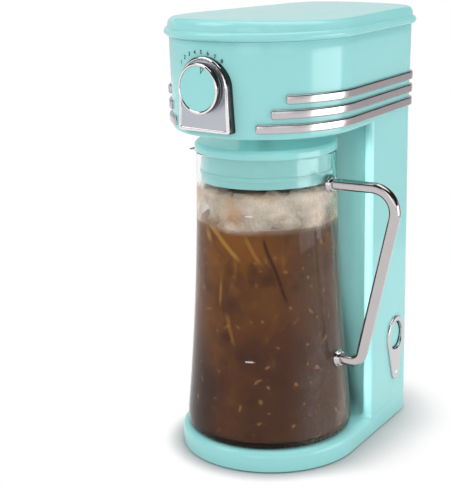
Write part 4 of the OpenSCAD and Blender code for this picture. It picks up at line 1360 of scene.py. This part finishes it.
class MAKER_OT_body(bpy.types.Operator):
    """Base, column and head mouldings"""

    bl_idname = "maker.body"
    bl_label = "Body mouldings"

    def execute(self, context):
        edge, deck, head = size_of("column_round"), size_of("deck_round"), size_of("head_round")
        plan = Plan(edge)
        add_piece("base_shell", base_form(plan, deck), "machine", "teal_plastic", replaced=["base_housing"])
        cuts = [box_form(*COVER_RECESS), box_form(*COVER_SPACE),
                side_turned(BUTTON_HOLE, SWITCH_Z, 64), side_turned(LAMP_HOLE, LAMP_Z, 32)]
        add_piece("column_shell", column_form(edge, size_of("foot_flare"), deck, head), "machine",
                  "teal_plastic", cutters=cuts, replaced=["column_housing"])
        add_piece("head_shell", head_form(plan, head, size_of("head_draft")), "machine", "teal_plastic",
                  cutters=[tank_gap_form(plan)], replaced=["head_housing"])
        return {"FINISHED"}


class MAKER_OT_lid(bpy.types.Operator):
    """Crowned lid with its finger bead"""

    bl_idname = "maker.lid"
    bl_label = "Lid"

    def execute(self, context):
        form = lid_form(Plan(size_of("column_round")), size_of("lid_crown"))
        add_piece("lid_shell", form, "lid", "teal_plastic", replaced=["lid_cap"])
        return {"FINISHED"}


class MAKER_OT_trim(bpy.types.Operator):
    """Six flat faced trim bars with rounded edges"""

    bl_idname = "maker.trim"
    bl_label = "Trim strips"

    def execute(self, context):
        finish = plated("soft_trim", (0.58, 0.55, 0.56), 0.17, 0.05)
        for side, way in (("right", 1), ("left", -1)):
            for level, height in enumerate(("lower", "middle", "upper")):
                form = trim_form(level, way, size_of("head_draft"))
                add_piece(f"strip_{side}_{height}", form, "machine", "chrome_trim", finish=finish,
                          replaced=[f"trim_{side}_{height}"])
        return {"FINISHED"}


class MAKER_OT_dial(bpy.types.Operator):
    """Dial plate, knob ring, pointer and numerals"""

    bl_idname = "maker.dial"
    bl_label = "Strength dial"

    def execute(self, context):
        gloss = plated("dial_chrome", (0.86, 0.84, 0.84), 0.04, 0.02)
        plate = add_piece("dial_frame", loft([plate_ring(inset, y) for inset, y in PLATE_STEPS]), "machine",
                          "chrome_trim", finish=gloss, replaced=["dial_plate"])
        plate.data.materials.append(plated("satin_plate", tone_of("satin"), 0.27, 0.16))
        fronts = [face for face in plate.data.polygons if face.center.y < PLATE_FRONT * MM]
        max(fronts, key=lambda face: face.area).material_index = 1
        self.painted_dark_sides(plate)
        rim = add_piece("knob_rim", turned(KNOB_RIM, (0, 0, KNOB_Z), (0, -1, 0), 128, tube=True), "knob",
                        "chrome_trim", finish=gloss, replaced=["knob_ring"])
        self.painted_dark_sides(rim)
        add_piece("pointer_mark", pointer_form(), "knob", "dark_plastic",
                  finish=printed("dark_mark", (0.03, 0.05, 0.055)), replaced=["knob_pointer"])
        add_piece("dial_numerals", numerals_form(), "machine", "dark_plastic",
                  finish=printed("dark_print", (0.01, 0.028, 0.028)))
        return {"FINISHED"}

    def painted_dark_sides(self, obj):
        """Black painted on the faces that stand square to the front, as a painted dark reflection."""
        obj.data.materials.append(finish_of("black_plate"))
        last = len(obj.data.materials) - 1
        for face in obj.data.polygons:
            if abs(face.normal.y) < SQUARE_ON:
                face.material_index = last


class MAKER_OT_switch(bpy.types.Operator):
    """Drop shaped bezel, push button and indicator"""

    bl_idname = "maker.switch"
    bl_label = "Power switch"

    def execute(self, context):
        finish = plated("soft_chrome", (0.62, 0.62, 0.63), 0.16, 0.05)
        seats = [side_turned(BUTTON_SEAT, SWITCH_Z, 96), side_turned(LAMP_SEAT, LAMP_Z, 48)]
        add_piece("switch_rim", loft([drop_ring(inset, out) for inset, out in DROP_STEPS]), "machine",
                  "chrome_trim", finish=finish, cutters=seats, replaced=["switch_bezel"])
        add_piece("button_cap", side_turned(BUTTON_CAP, SWITCH_Z, 96), "button", "teal_plastic",
                  replaced=["power_button"])
        add_piece("lamp_cover", side_turned(LAMP_COVER, LAMP_Z, 40), "machine", "lamp_lens",
                  replaced=["indicator_lens"])
        return {"FINISHED"}


class MAKER_OT_pitcher(bpy.types.Operator):
    """Glass jar with its spout and level dashes, and the bent bar handle"""

    bl_idname = "maker.pitcher"
    bl_label = "Pitcher"

    def execute(self, context):
        add_piece("glass_jar", jar_form(), "pitcher", "clear_jar", replaced=["pitcher_jar"])
        bar = joined(handle_form(), collar_form(ARM_TOP), collar_form(ARM_LOW))
        add_piece("bar_handle", bar, "pitcher", "chrome_trim", replaced=["pitcher_handle", "handle_pins"])
        add_piece("level_marks", marks_form(), "pitcher", "clear_jar",
                  finish=printed("white_print", (0.8, 0.8, 0.8)))
        return {"FINISHED"}


class MAKER_OT_drink(bpy.types.Operator):
    """Coffee and ice in the pitcher"""

    bl_idname = "maker.drink"
    bl_label = "Coffee and ice"

    def execute(self, context):
        level = size_of("coffee_level")
        add_piece("iced_coffee", coffee_form(level), "pitcher", "clear_jar", finish=coffee_body())
        add_piece("ice_pieces", joined(*ice_forms(context.scene.maker_sizes.ice_count, level)), "pitcher",
                  "clear_jar", finish=cloudy_ice(), angle=50.0)
        return {"FINISHED"}


class MAKER_OT_solids(bpy.types.Operator):
    """Finishes for the solids that show as they are"""

    bl_idname = "maker.solids"
    bl_label = "Other solids"

    def execute(self, context):
        special = {"mesh_filter": woven_steel(),
                   "pitcher_seal": dull_plastic("teal_silicone", tone_of("body"), 0.42)}
        for part in frame["record"]["subparts"]:
            materials = frame["nodes"][part["node"]].data.materials
            materials.clear()
            materials.append(special.get(part["node"]) or finish_of(part["material_slot"]))
        return {"FINISHED"}


class MAKER_PT_pieces(bpy.types.Panel):
    """Lists the pieces and what a user would change"""

    bl_idname = "MAKER_PT_pieces"
    bl_label = "Coffee maker"
    bl_space_type = "VIEW_3D"
    bl_region_type = "UI"
    bl_category = "Coffee maker"

    def draw(self, context):
        for group in (context.scene.maker_sizes, context.scene.maker_colours):
            for name in group.__annotations__:
                self.layout.prop(group, name)
        for step in STEPS:
            self.layout.operator(step.bl_idname)


STEPS = (MAKER_OT_stage, MAKER_OT_body, MAKER_OT_lid, MAKER_OT_trim, MAKER_OT_dial, MAKER_OT_switch,
         MAKER_OT_pitcher, MAKER_OT_drink, MAKER_OT_solids)
CLASSES = (MakerSizes, MakerColours, *STEPS, MAKER_PT_pieces)


def register():
    for cls in CLASSES:
        bpy.utils.register_class(cls)
    bpy.types.Scene.maker_sizes = PointerProperty(type=MakerSizes)
    bpy.types.Scene.maker_colours = PointerProperty(type=MakerColours)


def unregister():
    del bpy.types.Scene.maker_colours
    del bpy.types.Scene.maker_sizes
    for cls in reversed(CLASSES):
        bpy.utils.unregister_class(cls)


def main():
    register()
    for step in STEPS:
        group, name = step.bl_idname.split(".")
        getattr(getattr(bpy.ops, group), name)()


if __name__ == "__main__":
    main()
